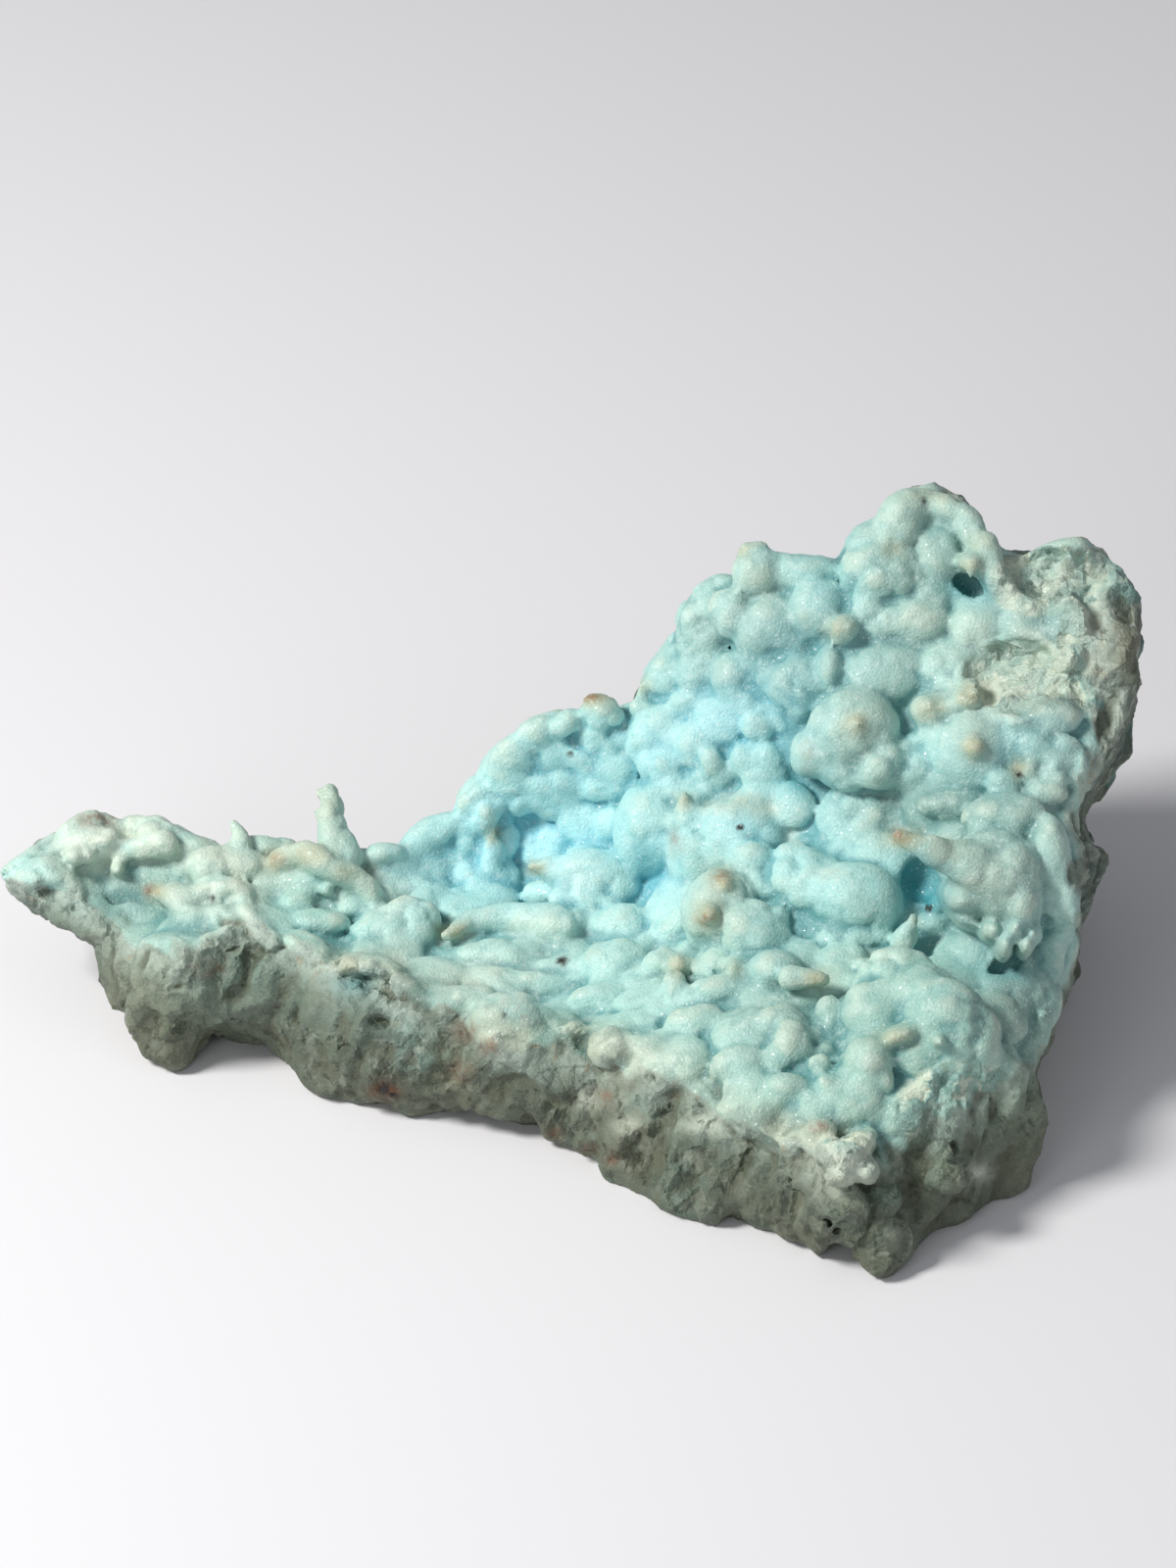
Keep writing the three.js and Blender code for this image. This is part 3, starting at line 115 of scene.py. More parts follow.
# Lumps of the crust: across, up, half width, half height, turn in degrees, and how far the summit
# stands proud of the face towards the eye.
LUMPS = [
    # top of the mound
    [26, 107.6, 3.5, 4, 0, 5.5], [19, 100, 4.8, 6.8, -28, 3], [22, 101, 3.3, 3.9, 0, 5.5],
    [28, 99, 5.5, 4.5, 20, 5], [35.5, 101.5, 4.4, 4.7, 0, 5], [39, 98.5, 2.4, 2.3, 0, 6],
    [42.6, 100.3, 3, 3.8, 0, 3.2], [33, 107, 6, 2.8, 0, 3], [45.5, 107.3, 6.4, 4.9, -8, 5],
    [43, 112, 3, 2, 20, 3], [48, 115.3, 3.5, 4.6, -25, 5], [54.4, 113.6, 5.6, 4, -20, 1.6],
    [53.5, 109.8, 3.1, 4.2, 0, 4], [52.4, 104, 3.3, 3, 0, 3.5], [50, 99.3, 5.6, 4.3, 0, 4],
    [45, 99.5, 3.4, 3.8, 0, 3.4], [60, 99, 4.2, 3.4, 0, 4], [67, 99.5, 4.8, 4.4, 0, 3],
    [74, 98.5, 3.6, 4.6, 20, 3], [73.5, 94.3, 2.5, 2, 0, 3.5], [60.6, 111.8, 1.7, 1.6, 0, 4.5],
    [58.6, 109, 2.2, 1.5, 0, 6],
    # shoulder of the mound
    [33, 90.3, 5, 4.8, 0, 4.5], [37, 92.5, 2, 3.6, 0, 5], [45.5, 91.8, 6.4, 4.7, 0, 4],
    [31, 96.6, 3.6, 2.3, 0, 3.5], [27.6, 92.8, 1.9, 2.6, 0, 3], [22.4, 90.8, 3.2, 3.5, 0, 3.6],
    [17.4, 92.2, 3.6, 2.7, 22, 3.4], [12.6, 91.6, 3.9, 3.1, 35, 3], [16, 88, 3.6, 2.1, 18, 3],
    [8.4, 86.7, 1.9, 1.3, 0, 2.5], [25.4, 87.6, 4, 3.4, 0, 2.4], [26, 84.2, 2.3, 2.7, 0, 3],
    [11, 83.6, 5.2, 3.3, 38, 3.4], [7.4, 82.6, 3, 1.9, 52, 2.4], [17.6, 80.8, 4, 4.3, 0, 3.6],
    [18.8, 78.4, 2.1, 2.5, 0, 4.4], [12, 77.9, 4.4, 2.9, 5, 3.2], [23.8, 78.7, 2.1, 2.7, 0, 2.8],
    [27.2, 79, 2.5, 2.7, 0, 2.8], [6.6, 77.4, 2, 2.3, 0, 2], [20, 73.8, 3.5, 2.5, 0, 2.4],
    [28, 73.6, 5, 2.3, 0, 2.2], [20.6, 76.8, 4.4, 2.8, 0, 2.6], [27, 76.4, 4, 2.2, 0, 2.4],
    [14, 74.6, 4.4, 2.4, 0, 2], [50, 77, 4.4, 3.4, 0, 2.6],
    # the big hanging knob and its nipple
    [40.8, 83, 6.3, 6.3, 0, 9], [35.8, 80, 4.6, 3.8, 25, 8], [40.6, 77.6, 5.4, 3.5, 0, 6.5],
    [44.8, 77.8, 3.9, 3.6, 30, 6.8], [41, 84.2, 1.5, 1.7, 0, 10.2], [50, 80.4, 3.4, 2.2, 8, 2],
    # back wall of the basin
    [-10, 76.5, 8.5, 5.5, 40, 1.6], [1.6, 75, 3, 2.5, 0, 3], [-2.4, 70.6, 2.4, 3.7, 0, 2.6],
    [0.4, 68.8, 4.4, 4.4, 0, 3], [4.6, 68.6, 3.5, 3.1, 0, 3.6], [10.2, 68.6, 5.6, 7.2, -14, 6.5],
    [2.1, 85.9, 3.2, 2.5, -25, 4], [-3.2, 84.3, 2.8, 1.7, 25, 3], [0, 79.6, 5.6, 2.6, 0, 2.4],
    [-18.4, 71.8, 1.5, 1.7, 0, 2], [-16.1, 69.9, 2.2, 2.9, -22, 4], [-22, 64.2, 7, 3.4, 6, 1.4],
    [-23.6, 67.4, 4.8, 2.4, 28, 2.4],
    # floor of the basin
    [1.6, 59.9, 6.5, 4.7, -20, 7], [1.2, 63.3, 4.4, 2.1, -10, 4.9], [-4.4, 52.8, 4.6, 3.8, 0, 4.2],
    [-17.3, 55.3, 4.4, 2.2, 8, 2.8], [-25, 57.4, 3.2, 2.7, 0, 3.6], [-27, 52.6, 4.2, 4.7, 0, 4.4],
    [-31.6, 51.6, 5.5, 3.8, 32, 2.8], [-31, 57.4, 1.7, 1.9, 0, 1.8], [-14, 47.8, 6.6, 3.1, 0, 2.1],
    [-5.6, 46.9, 3.5, 1.6, 0, 2.1], [-19.6, 42, 4.8, 2.2, 8, 2.8], [-11.4, 38.6, 5.8, 3.9, -6, 3.5],
    [-7.6, 44, 5, 2.2, 0, 1.8], [1.6, 42, 4.2, 2.3, 8, 2], [5, 52, 5, 3.8, 35, 2.5],
    [4.8, 46.6, 5.6, 4.3, 0, 2.5], [0.6, 56.6, 6.2, 3, -12, 5], [-6.6, 57.8, 3.4, 2.2, 0, 2.2],
    # lip of the crust over the broken front, and knobs along it
    [-35.6, 47.4, 3.6, 1.7, 12, 3], [-31, 46.2, 4, 1.9, -24, 3.4], [-27, 43, 3.6, 1.9, -44, 3],
    [11.4, 47.2, 2.8, 2.4, 0, 3], [13.9, 47.2, 1.8, 1.9, 0, 4], [13.2, 42, 2.1, 4.2, 0, 2],
    [19.4, 42.8, 5, 2.5, 14, 1.8], [22.4, 46.4, 1.5, 1.7, 0, 3.5], [17, 38, 4.6, 3, 0, 1.8],
    [3.8, 34.6, 3.4, 2.9, 0, 5], [10.2, 33.4, 4, 2.6, -32, 2], [-1.5, 37, 2.4, 1.6, 0, 2.1],
    # shell, saddle and twin-knob hill
    [16.8, 65.4, 4.6, 7.8, 8, 5], [23.6, 66.4, 6.6, 6.6, -20, 5], [25, 62.8, 3.6, 3.4, 0, 5],
    [31.8, 61.4, 4.3, 4.2, 0, 4], [41, 57, 6.6, 5.4, -8, 5], [36.6, 61, 4.2, 2.2, -18, 3],
    [34.4, 58.4, 7, 5.2, -25, 4.2], [20.2, 55.2, 5.3, 6, 0, 7.5], [18.5, 55.2, 2.1, 2.2, 0, 11],
    [20.8, 59.6, 1.9, 2, 0, 10.4], [29, 55, 1.8, 1.7, 0, 5], [27.4, 58.8, 3.6, 3, 0, 3.4],
    [25.4, 52, 5.6, 4.4, -38, 5.6], [28.4, 46.4, 3.9, 3, 0, 6], [30, 37, 4.3, 3.6, -15, 3],
    [24.6, 36.8, 5, 3, 12, 2], [31, 35, 3, 3.2, 0, 4], [24, 31.4, 4.7, 3.3, 0, 2],
    [37, 37.6, 2.3, 4.4, 0, 1.8], [35.4, 31.6, 1.6, 1.8, 0, 2], [36.4, 29, 1.5, 1.6, 0, 2],
    [30.4, 28.4, 3, 2.1, 0, 1.8],
    # the broad green lump and the near corner
    [47.4, 43.6, 6.2, 5.6, -10, 7], [44.4, 39.4, 5.4, 5, 0, 5.5], [55.6, 36.4, 6.2, 8.2, 30, 7],
    [50.6, 40.4, 7, 6.4, -20, 6.8], [42, 46.8, 1.9, 1.6, 0, 2], [47.6, 36.6, 3.2, 1.6, 22, 7.5],
    [43, 33, 3.3, 2.9, 0, 5], [53.6, 35.8, 1.3, 1.2, 0, 8.5], [48.2, 23.6, 3.8, 5, -35, 2.5],
    [40, 25.4, 6.8, 5.6, 0, 1.8], [37.2, 18.6, 2.2, 2.2, 0, 6.8], [41, 19.4, 2.1, 1.8, 0, 7.2],
    [42.6, 15.9, 1.9, 1.5, 0, 7.6], [38.4, 15.4, 2.3, 1.8, 0, 7], [39.8, 17.4, 2.8, 2.6, 0, 7.6],
    [42.4, 20.6, 1.8, 1.8, 0, 4.5], [35.6, 21.8, 2.4, 1.7, 0, 2.5], [63.4, 30, 3, 5.2, 10, 2],
    [67, 25.8, 2.1, 3.2, 0, 1.8], [54.4, 14.4, 3.2, 2.2, 0, 3.4], [45.4, 11.4, 2.6, 2.1, 0, 1.8],
    [45.4, 6.8, 2, 1.8, 0, 0.8],
    # the spiked head on the right
    [64, 60.6, 5.2, 6.2, 0, 11], [62.4, 65, 4.6, 2.9, -10, 10], [58.6, 58.4, 4.4, 3.7, 20, 12],
    [66, 57, 3.2, 4.6, 0, 10.5], [61.6, 52.8, 1.9, 2, 0, 11], [63.4, 50.4, 1.4, 2.6, 0, 11],
    [65, 53, 1.9, 1.9, 0, 11.5], [66.6, 50.4, 1.3, 2.2, 0, 10.5], [67.6, 52.4, 1.6, 1.9, 0, 9.5],
    [57.8, 54.2, 2.9, 1.4, -20, 9.5], [53.5, 56.7, 1.6, 1.8, 0, 4], [53, 53.4, 2.6, 2.2, 0, 3],
    [64, 69.4, 6, 3.8, 0, 6], [56, 71.8, 5, 2.3, 0, 3.6], [70.6, 62.6, 3, 7, 0, 4], [70, 73.6, 3, 1.8, 0, 3],
    # knobs between the head and the mound
    [52.6, 86.3, 2.9, 2.5, 0, 5], [58, 88.4, 2.4, 2.2, 0, 5.5], [55.6, 87, 3, 2, 18, 4],
    [59, 80.6, 2.1, 2.3, 0, 6.4], [59.6, 79.4, 6, 6, 0, 4], [66, 84.4, 1.9, 1.1, 0, 3],
    [71, 85.4, 4.2, 3, 0, 2.6], [71.4, 76.8, 1.9, 3.2, 0, 2.8], [67.6, 76.8, 1.8, 3, 0, 2],
    [63.8, 75, 2.6, 2, 0, 3], [56, 93, 3, 2.2, 0, 1.6],
    # left wing
    [-76, 66, 5, 2.5, 6, 4], [-78.6, 64, 1.5, 1.3, 0, 4.5], [-76.2, 64.2, 1.4, 1.3, 0, 5],
    [-64.8, 65.5, 2, 1.7, 0, 4.6], [-71.9, 61.9, 1.2, 1.3, 0, 4.5], [-66, 67.8, 3.2, 1.4, 0, 2.4],
    [-58, 62, 3.2, 3.2, 0, 5], [-55.4, 58.6, 4.2, 1.9, -5, 5], [-57.8, 57.4, 4, 2.2, 0, 3.4],
    [-57, 54.2, 4.8, 2.6, 0, 1.8], [-49.6, 60.4, 4.6, 3, 0, 2.6], [-42.6, 59.8, 5, 2.4, 0, 1.8],
    [-36.6, 57.6, 3.4, 2.4, 0, 2], [-54, 62.6, 4.5, 2.8, 0, 4], [-31.6, 64.2, 3.2, 1.6, 6, 2.4],
    [-44.6, 57, 2.5, 1.6, 0, 2.4], [-36, 56, 2.4, 1.6, 0, 2.2], [-40, 58.8, 1.1, 1, 0, 2.6],
    [-42, 53.6, 5, 2.2, 0, 2],
]

# Spikes, horns and thin ridges, each a path of stations: across, up, proud of the face, and radius.
SPINES = [
    # big spike of the head on the right
    [[61, 61.4, 9, 4.1], [54.5, 63.9, 14, 2.7], [47.9, 66.9, 18, 1.4]],
    [[58, 65, 11, 1.6], [53, 66.6, 13.5, 0.9]],
    # curved horn in the basin, and the beak of the lump behind it
    [[-4, 52.8, 3, 3.6], [-11, 54.4, 3.6, 2.6], [-17, 54, 3.8, 2.2], [-21.7, 51.8, 3.8, 0.9]],
    [[0, 60.6, 3.4, 3.8], [-5, 61.8, 5, 2.4], [-8.4, 62.4, 6, 0.8]],
    # small teeth
    [[-15, 62.4, 1.6, 2.5], [-14.8, 65.4, 2.4, 1.7], [-14.4, 68.2, 3, 0.6]],
    [[31, 45.4, 6, 2], [36, 45.1, 7, 1.2]],
    [[64.6, 78.8, 4, 1.6], [66.6, 77.2, 5, 0.7]],
    [[48.4, 50.6, 1.6, 2.2], [49.9, 54.8, 3, 0.8]],
    [[14.6, 70.4, 5, 1.4], [14.9, 72.9, 5.4, 1.1]],
    [[7.8, 87.4, 0.5, 1.3], [8.2, 90.2, 1, 0.8]],
    [[0.4, 86.6, 2, 1.4], [-0.1, 87.8, 2, 0.9]],
    [[24.4, 108.6, 2.5, 1.5], [24, 111.2, 3, 0.7]],
    [[58.8, 108.4, 5, 1.2], [58.5, 107, 5.6, 0.5]],
    # arch on the summit
    [[46.4, 112, 1, 3], [48.6, 116.4, 1, 2.7], [52.6, 117.8, 1, 2.4], [57.4, 115.6, 1.6, 2.3],
        [60.6, 111, 2, 2.4], [62, 107, 1.6, 2.4], [64, 103.4, 0.4, 2.4]],
    # left wing: tall spike, small spike, finger, beige horn, arm with its leg, and blade
    [[-38.2, 63.6, 0, 3.9], [-39, 68, 0.5, 2.6], [-39.3, 72, 1, 2.1], [-39.7, 73.8, 1, 1.5]],
    [[-40, 72.8, 1, 1.1], [-41.4, 73.6, 1, 0.8]], [[-40.4, 70, 1, 1.1], [-41.7, 70.8, 1, 0.7]],
    [[-53.6, 64.2, 1, 2.3], [-53.2, 66.8, 1.2, 1.5], [-54.2, 68.8, 1.2, 0.8]],
    [[-61, 55, 1, 2.4], [-63, 57.6, 3.6, 2.6], [-66.4, 58.4, 5.2, 1]],
    [[-71.4, 64.4, 2, 1.8], [-68, 65.6, 2.6, 2.2], [-64.8, 66.4, 2.4, 2]],
    [[-47.6, 63.2, 2.8, 1.7], [-43.6, 64.2, 3.4, 2.4], [-39, 62, 3.2, 2.2], [-34.6, 59.6, 2.6, 2.1],
        [-33, 56.8, 1.8, 1.9], [-32.6, 54, 0.4, 2]],
    [[-54.2, 58, 2, 1.5], [-52, 55.4, 1.8, 1.8], [-48.6, 51, 1, 1.6]],
]

# Hollows cut into the stone: across, up, half width, half height, turn, half depth, and the depth of
# the middle below the face.
HOLLOWS = [
    [59, 105, 3.8, 1.9, -28, 3, 0.6], [51, 60.4, 3.2, 3.6, -35, 3, 0.4],
    [-31.6, 38.6, 1.5, 0.8, -12, 2.4, 0.5], [-43.4, 38.4, 3.6, 0.8, -40, 1.8, 0],
    [-34.4, 44.8, 3, 1.6, 0, 2, 0], [56, 19.4, 0.9, 1.3, 10, 2.4, 0.5], [63.6, 46.8, 3.4, 1.6, 30, 1.8, 0.2],
    [37.4, 7.6, 2.2, 0.6, -45, 1.4, 0], [-69, 57, 5, 3, 0, 1, 0],
]

# The broken ends of the stone from above, each point at the table and at the top of the plan.
PLAN_TOP = 96
PLAN = [
    [-110, -20, -110, -20], [-104, 70, -104, 66], [-90, 88, -88, 80], [-74, 92, -70, 84], [-55, 88, -52, 82],
    [-34, 89, -32, 84], [-26, 95, -24, 88], [-12, 101, -10, 94], [2, 103, 4, 98], [14, 110, 16, 104],
    [31, 111, 32, 107], [48, 117, 48, 112], [64, 112, 64, 110], [76, 106, 82, 108], [82, 96, 91, 98],
    [83, 84, 94, 84], [80, 70, 92, 68], [75, 56, 86, 52], [71, 44, 84, 38], [74, -20, 84, -20],
]

# The wing overhangs: everything under a plane that rises to the left is broken away.
UNDERCUT = {"x": -69, "z": 1, "tilt": math.radians(36)}

# The blue crust on the sight plane. Outside it, and behind it, the stone is broken.
CRUST = [
    [-96, 60], [-80, 60.3], [-76, 57.5], [-70, 54], [-69, 51], [-62, 50], [-58, 53], [-52.5, 56],
    [-50, 53.5], [-45, 51], [-39, 48], [-31, 47.5], [-28, 42], [-20, 41], [-15, 35], [-10, 34.5], [-4, 36],
    [0, 33.5], [15, 29], [20, 25], [31, 19.5], [45, 18], [50, 24], [58, 27], [66, 33], [73, 38], [75, 50],
    [73, 60], [74, 71], [77, 83], [75.5, 95], [78, 105], [76, 113], [60, 130], [-96, 130],
]

# Patches of the crust that are broken off: across, up, half width and half height.
CHIPPED = [
    [71, 106, 9, 5], [66, 91.5, 8, 5.5], [76, 95, 4, 8], [39.6, 17.4, 5, 4.4], [58, 25, 10, 7],
]

# Between its named lumps the crust is all knobs that crowd each other: their spacing and height, the
# height left where the crust is smoother, and the places where it is full: across, up, half sizes.
KNOBS = {"spacing": 9.5, "height": 4, "least": 0.5}
KNOBBY = [
    [20, 84, 22, 18], [36, 98, 26, 14], [0, 76, 12, 12], [62, 90, 16, 14], [-22, 60, 9, 9], [55, 33, 14, 12],
    [-5, 60, 14, 6], [-55, 62, 9, 5],
]

# How much wider a lump is at its middle than where it meets its neighbours.
SWELL = 1.18

# The break is a patchwork of flat facets, smaller ones on larger ones: spacing and height of each size.
# They are turned away from the table.
BREAK = [[12.5, 4], [5.6, 3]]
FACET_TURN = 0.62

# Finer facets of the break, its plates that step over each other, and the small knobs of the crust:
# spacing and height.
FINE_BREAK = [(2.9, 1.7), (1.5, 0.7)]
PLATES = (4.6, 0.7)
FINE_KNOBS = [(4.3, 0.8), (2.2, 0.26)]

# The knobs between the lumps are round: the square of how far out one ends, in spacings, and the share of
# its height that lies below the middle of the relief.
KNOB_END = 0.42
KNOB_SUNK = 0.26

# How far the outline is drawn in, and where the crust gives way to the break: within how far past its own
# edge, from how far behind the face, and over how far from there.
DRAWN_IN = 0.6
CRUST_EDGE = 2
CRUST_DEEP = 3.5
CRUST_FADE = 3

# Places that differ in colour: across, up, half width, half height, strength.
BLUE = [
    [-8, 66, 16, 10, 1], [-2, 75, 12, 9, 0.7], [22, 86, 12, 9, 1], [12, 80, 10, 7, 0.8],
    [27, 70, 14, 8, 0.5], [10, 62, 5, 6, 1], [51, 60, 5, 6, 0.8], [-24, 63, 9, 5, 0.6],
    [60, 82, 14, 12, 0.35], [30, 95, 12, 9, 0.5], [6, 57, 8, 6, 0.5], [64, 47, 6, 4, 0.7],
]
GREEN = [
    [55, 30, 22, 18, 1], [30, 25, 22, 9, 0.8], [-55, 45, 30, 10, 0.7], [60, 104, 16, 10, 0.3],
    [-70, 62, 18, 6, 0.35], [50, 45, 10, 8, 0.7], [-10, 36, 20, 5, 0.8], [-68, 58, 14, 8, 0.85],
    [-44, 58, 12, 6, 0.6], [60, 62, 12, 20, 0.35],
]
# The crust's own teal in its hollows, darkened there as painted shade.
SHADED_TEAL = [
    [58.8, 105, 4.6, 2.6, 1], [51.2, 60, 3.6, 4.8, 1], [-69, 57.5, 6.5, 3, 0.4], [8.6, 63, 2.6, 4, 0.6],
    [63.6, 47, 4, 2.4, 0.6], [-35, 44.6, 3.6, 1.8, 0.6], [-41, 60.4, 5, 1.8, 0.2], [33, 75, 4, 2, 0.7],
    [61.2, 103.8, 2.4, 1.6, 0.9], [52.4, 57, 2.6, 2.6, 0.9], [-66, 53, 3, 2.4, 0.2],
    [53.6, 114, 3, 2.4, 0.25],
]
# White places: partly the crust's own white crystals and chips, partly painted highlight on lit lobes and
# rims.
WHITE_AND_HIGHLIGHT = [
    [19.6, 71.4, 2.6, 1.2, 0.7], [23.4, 72.8, 3, 1, 0.8], [27.6, 71, 2.6, 1.3, 0.7], [31, 67, 1.6, 3, 0.6],
    [37, 61.6, 3, 1, 0.6], [12.6, 66, 0.9, 5, 0.5], [-52, 57, 2.6, 3, 0.5], [-30, 44.6, 6, 2, 0.5],
    [58, 60, 2, 1.4, 0.4], [45, 48.6, 4, 1, 0.5], [50, 100.6, 5, 2, 0.35], [60, 98, 4, 4, 0.5],
    [68, 106, 8, 4, 1], [66, 92, 9, 7, 0.6], [-30, 57, 5, 4, 0.5], [-27, 51, 6, 5, 0.4],
    [39, 17.5, 6, 5, 0.8], [5, 35, 3, 2.4, 0.7], [10, 33.5, 4, 2.4, 0.7], [60, 15.4, 2, 1.3, 0.8],
    [-36, 48, 4, 2, 0.5], [-53, 56, 2.4, 3.4, 0.5], [-63.5, 58, 3, 2, 0.7], [0, 26.5, 2.4, 1.8, 0.6],
    [6, 22.5, 2.6, 1.6, 0.6], [18, 23, 3, 1.6, 0.6], [-33, 60, 3, 5, 0.5], [-40, 57, 4, 3, 0.4],
    [76, 98, 4, 10, 0.45], [-56, 61, 6, 6, 1.1], [-17, 45.5, 11, 4, 0.6], [-73, 66, 12, 5, 1.1],
    [-45, 63.5, 5, 2, 0.4], [-12, 53.5, 8, 2, 0.5], [-2, 61, 5, 3, 0.4], [-80, 62, 8, 3, 0.6],
]
GREY = [
    [61, 60, 8, 8, 0.9], [41, 82, 7, 7, 0.7], [26, 104, 6, 6, 0.75], [53, 115, 9, 6, 0.8],
    [20, 57, 5, 6, 0.6], [-60, 64, 9, 5, 0.7], [-43, 62, 10, 4, 0.8], [-39, 70, 3, 7, 0.8],
    [50, 98, 9, 6, 0.4], [59, 85, 6, 8, 0.6], [-5, 52, 5, 3, 0.7], [18, 100, 4, 8, 0.5],
    [-76, 65, 8, 5, 0.5], [-53, 56, 5, 5, 0.6], [70, 70, 6, 16, 0.5], [-69, 57, 8, 4, 0.7],
    [50, 72, 14, 6, 0.35], [66, 40, 7, 10, 0.6], [30, 42, 8, 6, 0.4], [15, 46, 8, 5, 0.35],
]
# Painted shade: places where the crust is darkened because it lies in shade, away from the key light.
PAINTED_SHADE = [
    [52, 72, 13, 5, 1], [66, 42, 9, 8, 0.8], [30, 94, 20, 9, 0.7], [50, 108, 14, 9, 0.5],
    [71, 96, 10, 14, 0.9], [62, 58, 8, 9, 0.75], [30, 38, 13, 11, 0.45], [52, 38, 12, 10, 0.35],
    [41, 80, 8, 6, 0.4], [64, 74, 10, 8, 0.5], [-69, 57.5, 7, 4, 0.9], [20, 78, 12, 7, 0.3],
]
TIPS = [
    [0.5, 88, 2.6, 1.6, 1], [23.6, 110.6, 2, 1.6, 0.7], [26.5, 107, 3, 3, 0.3], [41, 84.3, 2.2, 2, 0.9],
    [18.3, 55, 2.6, 2.6, 1], [20.6, 60.2, 2.2, 2.2, 1], [-20.6, 52.4, 3, 1.8, 0.9], [-8, 62, 1.8, 1.4, 1],
    [-14.5, 67.4, 1.4, 1.8, 1], [35, 45.2, 2.4, 1.6, 0.9], [13.8, 47.2, 2.2, 2, 0.7],
    [48.4, 66.6, 3.4, 1.8, 1], [54, 64.5, 4, 3, 0.5], [52.6, 86.6, 2.6, 2.2, 0.9], [58.3, 88.6, 2.2, 2, 1],
    [59, 80.6, 2.2, 2.2, 0.9], [66, 77.4, 2, 2, 0.8], [38, 98.8, 2.4, 2.2, 0.7], [46.6, 111, 2, 1.6, 0.6],
    [52, 119.4, 5, 1.6, 0.5], [14.8, 72.6, 1.6, 1.6, 0.6], [-48, 63.4, 2.4, 1.8, 1], [-43, 64.2, 4, 2, 0.8],
    [-37, 61.5, 3, 2, 0.6], [-66, 58.5, 1.8, 1.4, 0.9], [-39.8, 73, 2, 3, 0.4], [22.4, 46.6, 1.8, 1.8, 0.5],
    [8.2, 90, 1.6, 1.6, 0.6], [-36.8, 47.2, 2, 1.6, 0.6], [63, 48.6, 3, 2.4, 0.4],
    [66.5, 49.4, 2.4, 2.4, 0.4], [49.9, 54.4, 1.4, 1.4, 0.5], [24, 71.8, 7, 1.4, 0.35],
    [47, 36.2, 3.4, 1.6, 0.7], [60, 112, 2, 2, 0.5], [58.6, 108.4, 2.4, 1.8, 0.6], [33.4, 100, 2, 2, 0.25],
]
RUST = [
    [-31, 28.2, 2.2, 1.6, 1], [-75, 69.6, 3.6, 1.2, 0.8], [-67.2, 58.8, 1, 1, 0.8],
    [47.4, 67.2, 1.2, 1, 0.7], [-18, 37.4, 2.4, 2, 0.55], [-15, 35, 2, 1.6, 0.6], [-19.4, 31, 1.8, 1.6, 0.5],
    [35.4, 22.4, 1.8, 1, 0.8], [-5, 21.4, 1.2, 0.9, 0.7], [0, 19.2, 1.2, 0.9, 0.7], [2.6, 27.2, 1, 0.9, 0.7],
    [3.6, 17.6, 1.2, 0.9, 0.6], [-11, 40, 4, 2.4, 0.35], [-58, 47, 2.6, 1.8, 0.4], [13.4, 66.4, 1, 2, 0.5],
    [33.6, 79, 1.2, 3.4, 0.35], [0.4, 88.4, 2, 0.9, 0.7], [-47.5, 63.4, 1.8, 1.2, 0.4],
    [20.4, 61.2, 1.4, 0.9, 0.6], [18, 54.2, 1.6, 1.2, 0.5],
]
# Black painted as the shade inside small pits: across, up, radius.
PIT_SHADES = [
    [-3.9, 47.9, 0.75], [-12.8, 39.8, 0.5], [-47.5, 40.9, 0.4], [52.2, 56, 0.6], [77, 62.5, 0.9],
    [76.3, 59.4, 0.8], [76.6, 64.4, 0.6], [23.3, 68.4, 0.5], [-57.5, 57.4, 0.5], [-31.2, 28.4, 0.9],
    [-29.8, 27.4, 0.5], [51.4, 118.4, 0.5], [66, 76.4, 0.5], [-2.8, 79.6, 0.4],
]

# The colour masks: the places of each, and how far its blotches spread.
BLOTCHES = {
    "blue": (BLUE, 1.15), "green": (GREEN, 1.1), "pale": (WHITE_AND_HIGHLIGHT, 1), "grey": (GREY, 1.15), "dim": (PAINTED_SHADE, 1.1),
    "tip": (TIPS, 1), "rust": (RUST, 1), "shaded_teal": (SHADED_TEAL, 1),
}


def place(across, up, depth):
    """From the sight frame to the stone's own frame."""
    shrink = (EYE_DISTANCE - depth) / EYE_DISTANCE
    rise = EYE_UP + (up - EYE_UP) * shrink
    return np.array([
        across * shrink - ORIGIN_X,
        rise * SIN - depth * COS - ORIGIN_Y,
        rise * COS + depth * SIN,
    ])


def sight(x, y, z):
    """From the stone's own frame to the sight frame, with how much the distance shrinks things."""
    rise = (y + ORIGIN_Y) * SIN + z * COS
    depth = z * SIN - (y + ORIGIN_Y) * COS
    shrink = (EYE_DISTANCE - depth) / EYE_DISTANCE
    return (x + ORIGIN_X) / shrink, EYE_UP + (rise - EYE_UP) / shrink, depth, shrink


def depth_at_height(up, height):
    """The depth at which a line of sight is that high above the table."""
    return (height - up * COS) / (SIN - (up - EYE_UP) * COS / EYE_DISTANCE)


def thin_plate(points):
    """A thin-plate surface through (across, up, depth) points."""
    xy = points[:, :2]

    def kernel(r2):
        return 0.5 * r2 * np.log(np.maximum(r2, 1e-12))

    n = len(points)
    square = ((xy[:, None] - xy[None]) ** 2).sum(-1)
    matrix = np.zeros((n + 3, n + 3))
    matrix[:n, :n] = kernel(square)
    matrix[:n, n] = matrix[n, :n] = 1
    matrix[:n, n + 1:] = xy
    matrix[n + 1:, :n] = xy.T
    weights = np.linalg.solve(matrix, np.concatenate([points[:, 2], np.zeros(3)]))

    def depth_at(x, y):
        total = weights[n] + weights[n + 1] * x + weights[n + 2] * y
        for (px, py), weight in zip(xy, weights[:n]):
            total = total + weight * kernel((x - px) ** 2 + (y - py) ** 2)
        return total

    return depth_at


